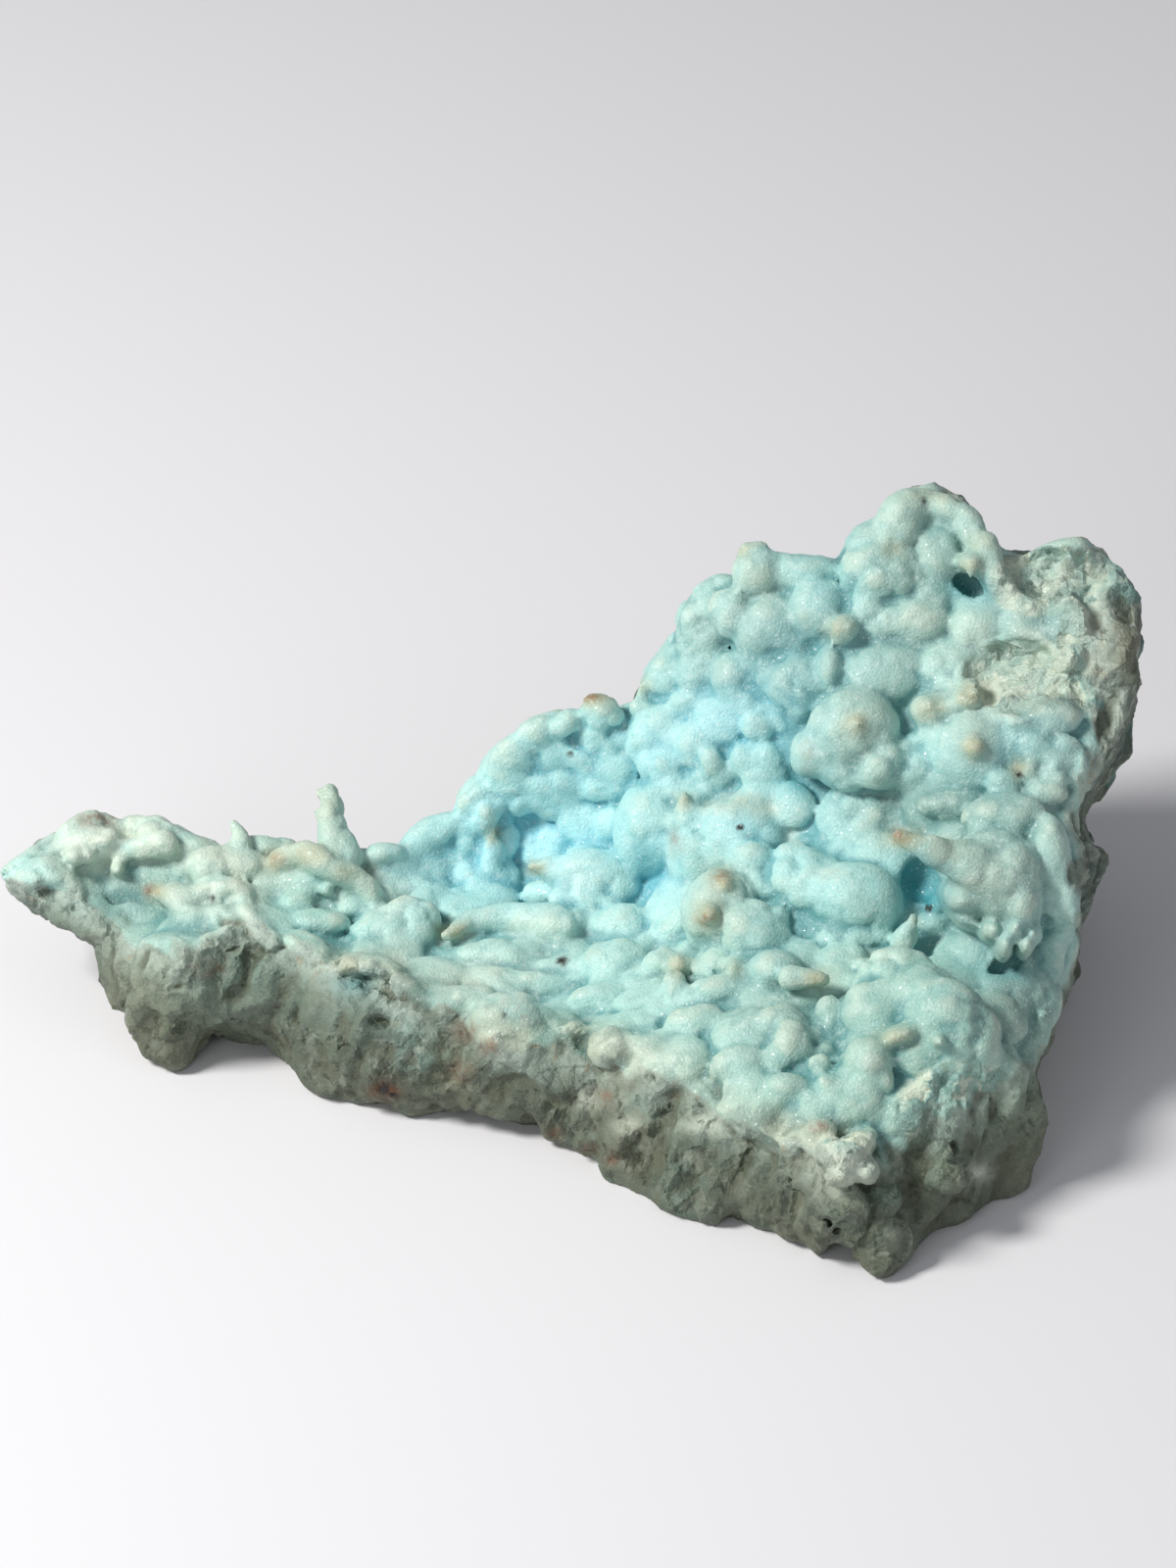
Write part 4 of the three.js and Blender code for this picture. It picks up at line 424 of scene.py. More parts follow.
def outline_distance(points, x, y):
    """Distance to a closed outline, negative inside it."""
    nearest = np.full(np.shape(x), np.inf)
    inside = np.zeros(np.shape(x), bool)
    for (ax, ay), (bx, by) in zip(points, [points[-1]] + points[:-1]):
        ex, ey = bx - ax, by - ay
        t = np.clip(((x - ax) * ex + (y - ay) * ey) / (ex * ex + ey * ey), 0, 1)
        nearest = np.minimum(nearest, (x - ax - t * ex) ** 2 + (y - ay - t * ey) ** 2)
        if ey:
            inside ^= ((ay > y) != (by > y)) & (x < ax + (y - ay) * ex / ey)
    return np.where(inside, -1, 1) * np.sqrt(nearest)


class Sheet:
    """Values over the sight plane, read back between the samples."""

    def __init__(self, values):
        self.values = values

    def __call__(self, across, up):
        rows, columns = self.values.shape
        x = np.clip((across - FIELD["left"]) / FIELD["step"], 0, columns - 1.0001)
        y = np.clip((up - FIELD["bottom"]) / FIELD["step"], 0, rows - 1.0001)
        i, j = x.astype(np.int32), y.astype(np.int32)
        u, v = x - i, y - j
        w = self.values
        low = w[j, i] * (1 - u) + w[j, i + 1] * u
        high = w[j + 1, i] * (1 - u) + w[j + 1, i + 1] * u
        return low * (1 - v) + high * v


def soft_min(a, b, k):
    """The smaller of two distances, rounded where they differ by less than k."""
    h = np.maximum(k - np.abs(a - b), 0)
    return np.minimum(a, b) - h * h / (4 * k)


def soft_max(a, b, k):
    return -soft_min(-a, -b, k)


def smooth(low, high, value):
    """Eases a value from 0 at low to 1 at high."""
    t = np.clip((value - low) / (high - low), 0, 1)
    return t * t * (3 - 2 * t)


columns = np.arange(FIELD["left"], FIELD["right"] + 0.5, FIELD["step"])
rows = np.arange(FIELD["bottom"], FIELD["top"] + 0.5, FIELD["step"])
plane_x, plane_y = np.meshgrid(columns, rows)
face = thin_plate(np.array([[a, u, depth_at_height(u, h)] for a, u, h in FACE], float))
face_values = face(plane_x, plane_y)
slope_up, slope_across = np.gradient(face_values, FIELD["step"])
face_depth = Sheet(face_values)
face_slope = Sheet(np.sqrt(1 + slope_up ** 2 + slope_across ** 2))
edge_distance = Sheet(outline_distance(OUTLINE, plane_x, plane_y))
crust_distance = Sheet(outline_distance(CRUST, plane_x, plane_y))


def depth_of_face(across, up):
    """The depth of the face at one place."""
    return face_depth(np.array(across * 1.0), np.array(up * 1.0))


def scatter(i, j, k, which):
    """A fixed scatter of numbers from 0 to 1, one for every whole-numbered place."""
    value = np.sin(i * 127.1 + j * 311.7 + k * 74.7 + which * 53.3) * 43758.5453
    return value - np.floor(value)


def facets(points, sizes):
    """Scattered heights through the room with flat facets between them, and a tone for each facet."""
    c, s = math.cos(FACET_TURN), math.sin(FACET_TURN)
    along = points[:, 1] * c - points[:, 0] * s
    turned = np.stack([points[:, 0] * c + points[:, 1] * s, along * c + points[:, 2] * s,
                       points[:, 2] * c - along * s], 1)
    relief = np.zeros(len(points))
    tone = np.zeros(len(points))
    every = np.arange(len(points))
    for spacing, height in sizes:
        cell = np.floor(turned / spacing)
        left = turned / spacing - cell
        order = np.argsort(-left, axis=1)
        left = np.take_along_axis(left, order, 1)
        tone += scatter(cell[:, 0], cell[:, 1], cell[:, 2] + 0.5 * order[:, 0] + 0.2 * order[:, 2], 8)
        total = (1 - left[:, 0]) * scatter(*cell.T, 1)
        for n in range(3):
            cell[every, order[:, n]] += 1
            rest = left[:, n] - (left[:, n + 1] if n < 2 else 0)
            total += rest * scatter(*cell.T, 1)
        relief += height * (total - 0.5)
    return relief, tone / len(sizes)


def nearest_seed(points, spacing):
    """How far the nearest of the scattered seeds is, in spacings, and that seed's own number."""
    base = np.floor(points / spacing)
    nearest = np.full(len(points), np.inf)
    number = np.zeros(len(points))
    for step in product((-1, 0, 1), repeat=3):
        cell = base + step
        seed = np.stack([scatter(*cell.T, which) for which in (1, 2, 3)], 1)
        away = ((points / spacing - cell - seed) ** 2).sum(1)
        number = np.where(away < nearest, scatter(*cell.T, 4), number)
        nearest = np.minimum(nearest, away)
    return np.sqrt(nearest), number


def knob_relief(points, across, up):
    """What the knobs between the named lumps add to the distance at points of the crust."""
    full = np.full(len(points), KNOBS["least"])
    for a, u, wide, tall in KNOBBY:
        full = np.maximum(full, 1.25 - 0.5 * (((across - a) / wide) ** 2 + ((up - u) / tall) ** 2))
    nearest, _ = nearest_seed(points, KNOBS["spacing"])
    rise = np.sqrt(np.maximum(1 - nearest ** 2 / KNOB_END, 0))
    return np.minimum(full, 1) * KNOBS["height"] * (KNOB_SUNK - rise)


def chipped(across, up):
    """Above 0 where the crust is broken off in patches."""
    most = np.full(np.shape(across), -1.0)
    for a, u, wide, tall in CHIPPED:
        most = np.maximum(most, (1.1 - np.hypot((across - a) / wide, (up - u) / tall)) * 3)
    return most


class Stone:
    """Signed distances over the room. The lowest layer of samples is the table."""

    def __init__(self):
        self.x = np.arange(ROOM["left"], ROOM["left"] + ROOM["width"], STEP)
        self.y = np.arange(ROOM["front"], ROOM["front"] + ROOM["length"], STEP)
        self.z = np.arange(0, ROOM["height"], STEP)
        self.values = np.empty((len(self.z), len(self.y), len(self.x)), np.float32)
        gx, gy = np.meshgrid(self.x, self.y)
        for k, z in enumerate(self.z):
            share = z / PLAN_TOP
            plan = [[a + (c - a) * share, b + (d - b) * share] for a, b, c, d in PLAN]
            self.values[k] = self.mass(gx, gy, z, plan)

    @staticmethod
    def mass(x, y, z, plan):
        """One layer of the mass without its lumps: the face, the outline, the ends and the overhang, with
        the relief of the break and of the crust near the surface only.
        """
        across, up, depth, shrink = sight(x, y, z)
        outside = edge_distance(across, up) * shrink - DRAWN_IN
        proud = depth - face_depth(across, up)
        distance = soft_max(proud / face_slope(across, up), outside, BLEND["edge"])
        near = distance < 6
        ends = np.full(distance.shape, -99.0)
        ends[near] = outline_distance(plan, (x + ORIGIN_X)[near], (y + ORIGIN_Y)[near])
        distance = soft_max(distance, ends, BLEND["edge"])
        left = UNDERCUT["x"] - ORIGIN_X - x
        under = left * math.sin(UNDERCUT["tilt"]) + (UNDERCUT["z"] - z) * math.cos(UNDERCUT["tilt"])
        distance = soft_max(distance, under, BLEND["edge"])
        share = np.maximum(crust_distance(across, up) / CRUST_EDGE, (-proud - CRUST_DEEP) / CRUST_FADE)
        share = np.clip(np.maximum(share, chipped(across, up)), 0, 1)
        close = np.abs(distance) < 5
        points = np.stack([x + ORIGIN_X, y + ORIGIN_Y, np.full(x.shape, z)], -1)
        todo = close & (share > 0)
        relief = np.zeros(distance.shape)
        relief[todo] += share[todo] * (0.8 + facets(points[todo], BREAK)[0])
        todo = close & (share < 1)
        relief[todo] += (1 - share[todo]) * knob_relief(points[todo], across[todo], up[todo])
        return distance + relief

    def box(self, points, reach):
        """The samples within reach of some points: slices, and where they are."""
        low, high = points.min(0) - reach, points.max(0) + reach
        cuts = []
        for axis, (a, b) in zip((self.x, self.y, self.z), zip(low, high)):
            start, stop = np.searchsorted(axis, a), np.searchsorted(axis, b)
            cuts.append(slice(start, max(stop, start + 1)))
        cx, cy, cz = cuts
        z, y, x = np.meshgrid(self.z[cz], self.y[cy], self.x[cx], indexing="ij")
        return (cz, cy, cx), x, y, z

    def ball(self, across, up, proud, half_sizes, turn, margin):
        """Distances to a ball set on the face, for the samples round it."""
        centre = place(across, up, depth_of_face(across, up) + proud)
        cut, x, y, z = self.box(centre[None], max(half_sizes) + margin)
        return cut, ball_distance(x, y, z, centre, *half_sizes, math.radians(turn))

    def add_lump(self, across, up, width, height, turn, proud):
        """Grows a rounded lump out of the stone, deeper where it stands further out."""
        half_width, half_height = SWELL * width, SWELL * height
        size = (half_width + half_height) / 2
        half_depth = max(0.8 * size, 0.75 * proud)
        blend = 0.2 + BLEND["lump"] * size
        half_sizes = half_width, half_height, half_depth
        cut, ball = self.ball(across, up, proud - half_depth, half_sizes, turn, blend + 1)
        self.values[cut] = soft_min(self.values[cut], ball, blend)

    def cut_hollow(self, across, up, half_width, half_height, turn, half_depth, below):
        """Cuts a rounded hollow."""
        half_sizes = half_width, half_height, half_depth
        cut, ball = self.ball(across, up, -below, half_sizes, turn, 2)
        self.values[cut] = soft_max(self.values[cut], -ball, BLEND["hollow"])

    def add_spine(self, stations):
        """Grows a tapering rod through stations; one of only two stations stands straight on the face."""
        points = []
        for a, u, proud, _ in stations:
            root = (a, u) if len(stations) > 2 else stations[0][:2]
            points.append(place(a, u, depth_of_face(*root) + proud))
        bends, radii = curve(np.array(points), [s[3] for s in stations], 6)
        cut, x, y, z = self.box(bends, max(radii) + BLEND["spine"] + 1)
        where = np.stack([x, y, z], -1)
        distance = np.full(x.shape, np.inf)
        for a, b, ra, rb in zip(bends[:-1], bends[1:], radii[:-1], radii[1:]):
            along = b - a
            t = np.clip(((where - a) @ along) / (along @ along), 0, 1)
            gap = np.sqrt(((where - a - t[..., None] * along) ** 2).sum(-1)) - (ra + (rb - ra) * t)
            distance = np.minimum(distance, gap)
        self.values[cut] = soft_min(self.values[cut], distance, BLEND["spine"])

    def sample(self, values, points):
        """Values between the samples, at points."""
        low = np.array([self.x[0], self.y[0], self.z[0]])
        at = (points - low) / STEP
        top = np.array(values.shape)[::-1] - 1.001
        at = np.clip(at, 0, top)
        i = at.astype(np.int32)
        f = at - i
        total = 0
        for a, b, c in product((0, 1), repeat=3):
            weight = np.abs(1 - a - f[:, 0]) * np.abs(1 - b - f[:, 1]) * np.abs(1 - c - f[:, 2])
            total = total + weight * values[i[:, 2] + c, i[:, 1] + b, i[:, 0] + a]
        return total

    def softened(self, reach):
        """The distances averaged over a cube of that reach, twice."""
        values = np.clip(self.values, -2 * reach, 2 * reach).astype(np.float32)
        n = max(int(round(reach / STEP)), 1)
        for _ in range(2):
            for axis in range(3):
                pad = [(0, 0)] * 3
                pad[axis] = (n + 1, n)
                total = np.cumsum(np.pad(values, pad, mode="edge"), axis=axis, dtype=np.float64)
                head = [slice(None)] * 3
                tail = [slice(None)] * 3
                head[axis] = slice(2 * n + 1, None)
                tail[axis] = slice(None, -2 * n - 1)
                values = ((total[tuple(head)] - total[tuple(tail)]) / (2 * n + 1)).astype(np.float32)
        return values


def ball_distance(x, y, z, centre, half_width, half_height, half_depth, turn):
    """Distance to a ball that is pulled to its half sizes and turned, in the sight frame."""
    dx, dy, dz = x - centre[0], y - centre[1], z - centre[2]
    up = dy * SIN + dz * COS
    near = (dz * SIN - dy * COS) / half_depth
    wide = (dx * math.cos(turn) + up * math.sin(turn)) / half_width
    tall = (up * math.cos(turn) - dx * math.sin(turn)) / half_height
    k0 = np.sqrt(wide ** 2 + tall ** 2 + near ** 2)
    k1 = np.sqrt((wide / half_width) ** 2 + (tall / half_height) ** 2 + (near / half_depth) ** 2)
    return k0 * (k0 - 1) / np.maximum(k1, 1e-9)


def curve(points, radii, pieces):
    """A smooth curve through points, as a row of closer points and radii."""
    padded = np.vstack([2 * points[0] - points[1], points, 2 * points[-1] - points[-2]])
    bends = []
    sizes = []
    for n in range(len(points) - 1):
        p0, p1, p2, p3 = padded[n:n + 4]
        for s in range(pieces):
            t = s / pieces
            bends.append(0.5 * (2 * p1 + (p2 - p0) * t + (2 * p0 - 5 * p1 + 4 * p2 - p3) * t ** 2
                                + (3 * p1 - p0 - 3 * p2 + p3) * t ** 3))
            sizes.append(radii[n] + (radii[n + 1] - radii[n]) * t)
    return np.array(bends + [points[-1]]), sizes + [radii[-1]]


def grow_together(values):
    """Where parts would touch only at an edge of the samples, they are let grow together."""
    for _ in range(12):
        changed = 0
        solid = values < 0
        for a, b in ((0, 1), (1, 2), (0, 2)):
            def corner(i, j):
                cut = [slice(None)] * 3
                cut[a] = slice(i, values.shape[a] - 1 + i)
                cut[b] = slice(j, values.shape[b] - 1 + j)
                return tuple(cut)
            s00, s10, s01, s11 = (solid[corner(i, j)] for i, j in ((0, 0), (1, 0), (0, 1), (1, 1)))
            crossed = (s00 == s11) & (s10 == s01) & (s00 != s10)
            if crossed.any():
                changed += int(crossed.sum())
                first = values[corner(1, 0)]
                second = values[corner(0, 0)]
                first[crossed & s00] = -0.03
                second[crossed & ~s00] = -0.03
                solid = values < 0
        if not changed:
            return


def skin(stone):
    """The skin of the samples: one corner in every cell that the surface passes, one quad a crossing."""
    values = stone.values
    solid = values < 0
    nz, ny, nx = values.shape
    count = np.zeros((nz - 1, ny - 1, nx - 1), np.int8)
    for c, b, a in product((0, 1), repeat=3):
        count += solid[c:nz - 1 + c, b:ny - 1 + b, a:nx - 1 + a]
    k, j, i = np.nonzero((count > 0) & (count < 8))
    number = np.full(values.shape, -1, np.int32)
    number[k, j, i] = np.arange(len(k))
    corners = np.array([[(n >> 0) & 1, (n >> 1) & 1, (n >> 2) & 1] for n in range(8)])
    sampled = np.stack([values[k + c, j + b, i + a] for a, b, c in corners], 1)
    total = np.zeros((len(k), 3))
    crossings = np.zeros(len(k))
    for n in range(8):
        for bit in (1, 2, 4):
            if n & bit:
                continue
            va, vb = sampled[:, n], sampled[:, n | bit]
            hit = (va < 0) != (vb < 0)
            t = np.where(hit, va / np.where(hit, va - vb, 1), 0)
            spot = corners[n] + t[:, None] * (corners[n | bit] - corners[n])
            total += spot * hit[:, None]
            crossings += hit
    spots = total / crossings[:, None] + np.stack([i, j, k], 1)
    spots = spots * STEP + np.array([stone.x[0], stone.y[0], stone.z[0]])
    spots[spots[:, 2] < 0.45 * STEP, 2] = 0
    quads = []
    for axis in range(3):
        first = [slice(1, -1)] * 3
        second = list(first)
        first[2 - axis], second[2 - axis] = slice(0, -1), slice(1, None)
        crossing = solid[tuple(first)] != solid[tuple(second)]
        kk, jj, ii = np.nonzero(crossing)
        kk, jj, ii = kk + first[0].start, jj + first[1].start, ii + first[2].start
        inside = solid[kk, jj, ii]
        u, v = np.roll(np.eye(3, dtype=int), -axis - 1, 0)[:2]
        cells = []
        for p, q in ((0, 0), (1, 0), (1, 1), (0, 1)):
            cells.append(number[kk - p * u[2] - q * v[2], jj - p * u[1] - q * v[1], ii - p * u[0] - q * v[0]])
        quad = np.stack(cells, 1)
        quad[~inside] = quad[~inside][:, ::-1]
        quads.append(quad)
    quads = np.concatenate(quads)
    return spots, quads[(quads >= 0).all(1)]


def largest_piece(spots, quads):
    """Only the largest closed skin stays."""
    label = np.arange(len(spots))
    while True:
        low = label[quads].min(1)
        new = label.copy()
        for n in range(4):
            np.minimum.at(new, quads[:, n], low)
        new = new[new]
        if (new == label).all():
            break
        label = new
    names, sizes = np.unique(label[quads[:, 0]], return_counts=True)
    kept = quads[label[quads[:, 0]] == names[sizes.argmax()]]
    used, renamed = np.unique(kept, return_inverse=True)
    return spots[used], renamed.reshape(-1, 4)


def corner_normals(spots, quads):
    """The outward direction at each corner of the skin."""
    across = spots[quads[:, 2]] - spots[quads[:, 0]]
    other = spots[quads[:, 3]] - spots[quads[:, 1]]
    flat = np.cross(across, other)
    normals = np.zeros_like(spots)
    for n in range(4):
        for axis in range(3):
            normals[:, axis] += np.bincount(quads[:, n], flat[:, axis], len(spots))
    return normals / np.maximum(np.linalg.norm(normals, axis=1), 1e-9)[:, None]


def broken_share(points):
    """1 on the break, 0 on the crust."""
    across, up, depth, _ = sight(points[:, 0], points[:, 1], points[:, 2])
    behind = face_depth(across, up) - depth
    uneven = np.sin(across * 0.55 + 2) * np.sin(up * 0.7) + 0.7 * np.sin(across * 1.3 + up * 0.9)
    return np.clip(np.maximum((crust_distance(across, up) + uneven) / 2.4 + 0.3, (behind - 7) / 4), 0, 1)


def add_fine_relief(spots, normals):
    """Small facets on the break and small knobs on the crust; the base stays flat."""
    across, up, _, _ = sight(spots[:, 0], spots[:, 1], spots[:, 2])
    broken = np.maximum(broken_share(spots), np.clip(chipped(across, up), 0, 1))
    off_table = smooth(0.3, 2.5, spots[:, 2])
    points = spots + (ORIGIN_X, ORIGIN_Y, 0)
    swell = np.zeros(len(points))
    for spacing, height in FINE_KNOBS:
        nearest, _ = nearest_seed(points, spacing)
        swell += height * (np.sqrt(np.maximum(1 - nearest ** 2 / KNOB_END, 0)) - 0.6)
    patchy = 0.6 + 0.4 * np.sin(points[:, 0] * 0.21 + 1.3) * np.sin(points[:, 1] * 0.17 + points[:, 2] * 0.13)
    step = PLATES[1] * (nearest_seed(points, PLATES[0])[1] - 0.5)
    move = (1 - broken) * swell * patchy - broken * (facets(points, FINE_BREAK)[0] + step)
    return spots + normals * (move * off_table)[:, None]


def blotches(places, across, up, spread):
    """How strongly each point is in one of the places, which fade out at their edges."""
    total = np.zeros(len(across))
    for a, u, wide, tall, strength in places:
        reach = ((across - a) / (wide * spread)) ** 2 + ((up - u) / (tall * spread)) ** 2
        total = np.maximum(total, strength * np.exp(-reach * 1.1))
    return total


def build_mesh():
    """The stone as one mesh: its forms, their skin, the small relief, and fewer triangles on even ground."""
    stone = Stone()
    for lump in LUMPS:
        stone.add_lump(*lump)
    for spine in SPINES:
        stone.add_spine(spine)
    for hollow in HOLLOWS:
        stone.cut_hollow(*hollow)
    stone.values[0] = np.maximum(stone.values[0], 0)
    grow_together(stone.values)
    spots, quads = largest_piece(*skin(stone))
    spots = add_fine_relief(spots, corner_normals(spots, quads))
    rough = bpy.data.meshes.new("skin")
    rough.from_pydata((spots / 1000).tolist(), [], quads.tolist())
    piece = bpy.data.objects.new("aragonite_stone", rough)
    bpy.context.scene.collection.objects.link(piece)
    thin = piece.modifiers.new("thin", "DECIMATE")
    thin.ratio = min(1.0, TRIANGLES / (2 * len(quads)))
    thin.use_collapse_triangulate = True
    bpy.context.view_layer.update()
    mesh = bpy.data.meshes.new_from_object(piece.evaluated_get(bpy.context.evaluated_depsgraph_get()))
    mesh.name = "aragonite_stone"
    piece.modifiers.clear()
    piece.data = mesh
    bpy.data.meshes.remove(rough)
    paint_masks(mesh, stone)
    shade(mesh)
    return piece


def shade(mesh):
    """Smooth over the crust, flat facets over the break and where the crust is chipped off."""
    bare = np.empty(len(mesh.vertices), np.float32)
    chip = np.empty(len(mesh.vertices), np.float32)
    mesh.attributes["broken"].data.foreach_get("value", bare)
    mesh.attributes["chip"].data.foreach_get("value", chip)
    corners = np.empty(len(mesh.loops), np.int32)
    mesh.loops.foreach_get("vertex_index", corners)
    most = np.maximum(bare, chip)[corners].reshape(-1, 3).mean(1)
    mesh.polygons.foreach_set("use_smooth", most < 0.55)


def paint_masks(mesh, stone):
    """Per-vertex masks for the material, worked out from where each vertex is."""
    count = len(mesh.vertices)
    flat = np.empty(count * 3, np.float32)
    mesh.vertices.foreach_get("co", flat)
    points = flat.reshape(-1, 3).astype(float) * 1000
    across, up, depth, _ = sight(points[:, 0], points[:, 1], points[:, 2])
    front = smooth(-14, -5, depth - face_depth(across, up))
    fine = stone.sample(stone.softened(1.5), points)
    broad = stone.sample(stone.softened(6.0), points)
    past_crust = crust_distance(across, up)
    near_front = smooth(54, 44, up) * smooth(50, 40, across)
    masks = {
        "crease": np.clip(0.5 - fine / 1.6, 0, 1),
        "hollow": np.clip(0.5 - broad / 8.0, 0, 1),
        "broken": broken_share(points),
        "chip": np.clip(chipped(across, up) + 0.5, 0, 1) * front,
        "rim": smooth(7, 1, past_crust) * front,
        "fringe": smooth(-7, -1, past_crust) * near_front * front,
    }
    for name, (places, spread) in BLOTCHES.items():
        masks[name] = blotches(places, across, up, spread) * front
    spots = points + (ORIGIN_X, ORIGIN_Y, 0)
    masks["tone"] = 0.6 * nearest_seed(spots, PLATES[0])[1] + 0.4 * facets(spots, FINE_BREAK[:1])[1]
    pit_shades = np.zeros(count)
    for a, u, size in PIT_SHADES:
        away = np.hypot(across - a, up - u) / size
        pit_shades = np.maximum(pit_shades, smooth(1.25, 0.7, away))
    masks["pit_shade"] = pit_shades * front
    for name, values in masks.items():
        layer = mesh.attributes.new(name, "FLOAT", "POINT")
        layer.data.foreach_set("value", values.astype(np.float32))


def linear(red, green, blue):
    """A colour as seen on a screen, 0 to 255, as the linear light that Blender mixes."""
    def one(value):
        value /= 255
        return value / 12.92 if value <= 0.04045 else ((value + 0.055) / 1.055) ** 2.4
    return (one(red), one(green), one(blue), 1.0)


class Graph:
    """Short names for building a node tree."""

    def __init__(self, tree):
        self.tree = tree

    def link(self, out, into):
        self.tree.links.new(out, into)

    def node(self, kind, inputs=None, **settings):
        """A node with its settings, and with numbers or other nodes' outputs fed to its inputs."""
        made = self.tree.nodes.new(kind)
        for name, value in settings.items():
            setattr(made, name, value)
        for name, value in (inputs or {}).items():
            if hasattr(value, "is_linked"):
                self.link(value, made.inputs[name])
            else:
                made.inputs[name].default_value = value
        return made

    def mask(self, name):
        return self.node("ShaderNodeAttribute", attribute_name=name).outputs["Fac"]

    def math(self, operation, a, b=0.0, clamp=False):
        return self.node("ShaderNodeMath", {0: a, 1: b}, operation=operation, use_clamp=clamp).outputs[0]

    def times(self, a, b):
        return self.math("MULTIPLY", a, b)

    def rest(self, share):
        """What a share leaves of 1."""
        return self.math("SUBTRACT", 1.0, share)

    def spread(self, value, low, high, to_low=0.0, to_high=1.0):
        """One range of a value eased into another."""
        ends = {"From Min": low, "From Max": high, "To Min": to_low, "To Max": to_high}
        made = self.node("ShaderNodeMapRange", {"Value": value, **ends}, interpolation_type="SMOOTHSTEP")
        return made.outputs["Result"]

    def mix(self, share, a, b):
        return self.node("ShaderNodeMix", {0: share, 6: a, 7: b}, data_type="RGBA").outputs[2]

    def tint(self, colour, shade, share, strength=None):
        """A colour pulled towards a shade, by a share that may be weakened to some strength."""
        if strength is not None:
            share = self.times(share, strength)
        return self.mix(share, colour, linear(*shade))

    def noise(self, where, scale, detail, roughness):
        inputs = {"Vector": where, "Scale": scale, "Detail": detail, "Roughness": roughness}
        return self.node("ShaderNodeTexNoise", inputs).outputs["Fac"]

    def cells(self, where, scale, out="Distance"):
        return self.node("ShaderNodeTexVoronoi", {"Vector": where, "Scale": scale}).outputs[out]

    def vector(self, operation, inputs):
        return self.node("ShaderNodeVectorMath", inputs, operation=operation).outputs[0]

    def lean(self, normal, where, scale, strength):
        """A normal with a small tilt, the same all over each cell of a patchwork."""
        away = self.vector("SUBTRACT", {0: self.cells(where, scale, "Color"), 1: (0.5, 0.5, 0.5)})
        return self.vector("ADD", {0: normal, 1: self.vector("SCALE", {0: away, "Scale": strength})})

    def bump(self, height, strength, distance, normal):
        inputs = {"Height": height, "Strength": strength, "Distance": distance, "Normal": normal}
        return self.node("ShaderNodeBump", inputs).outputs["Normal"]


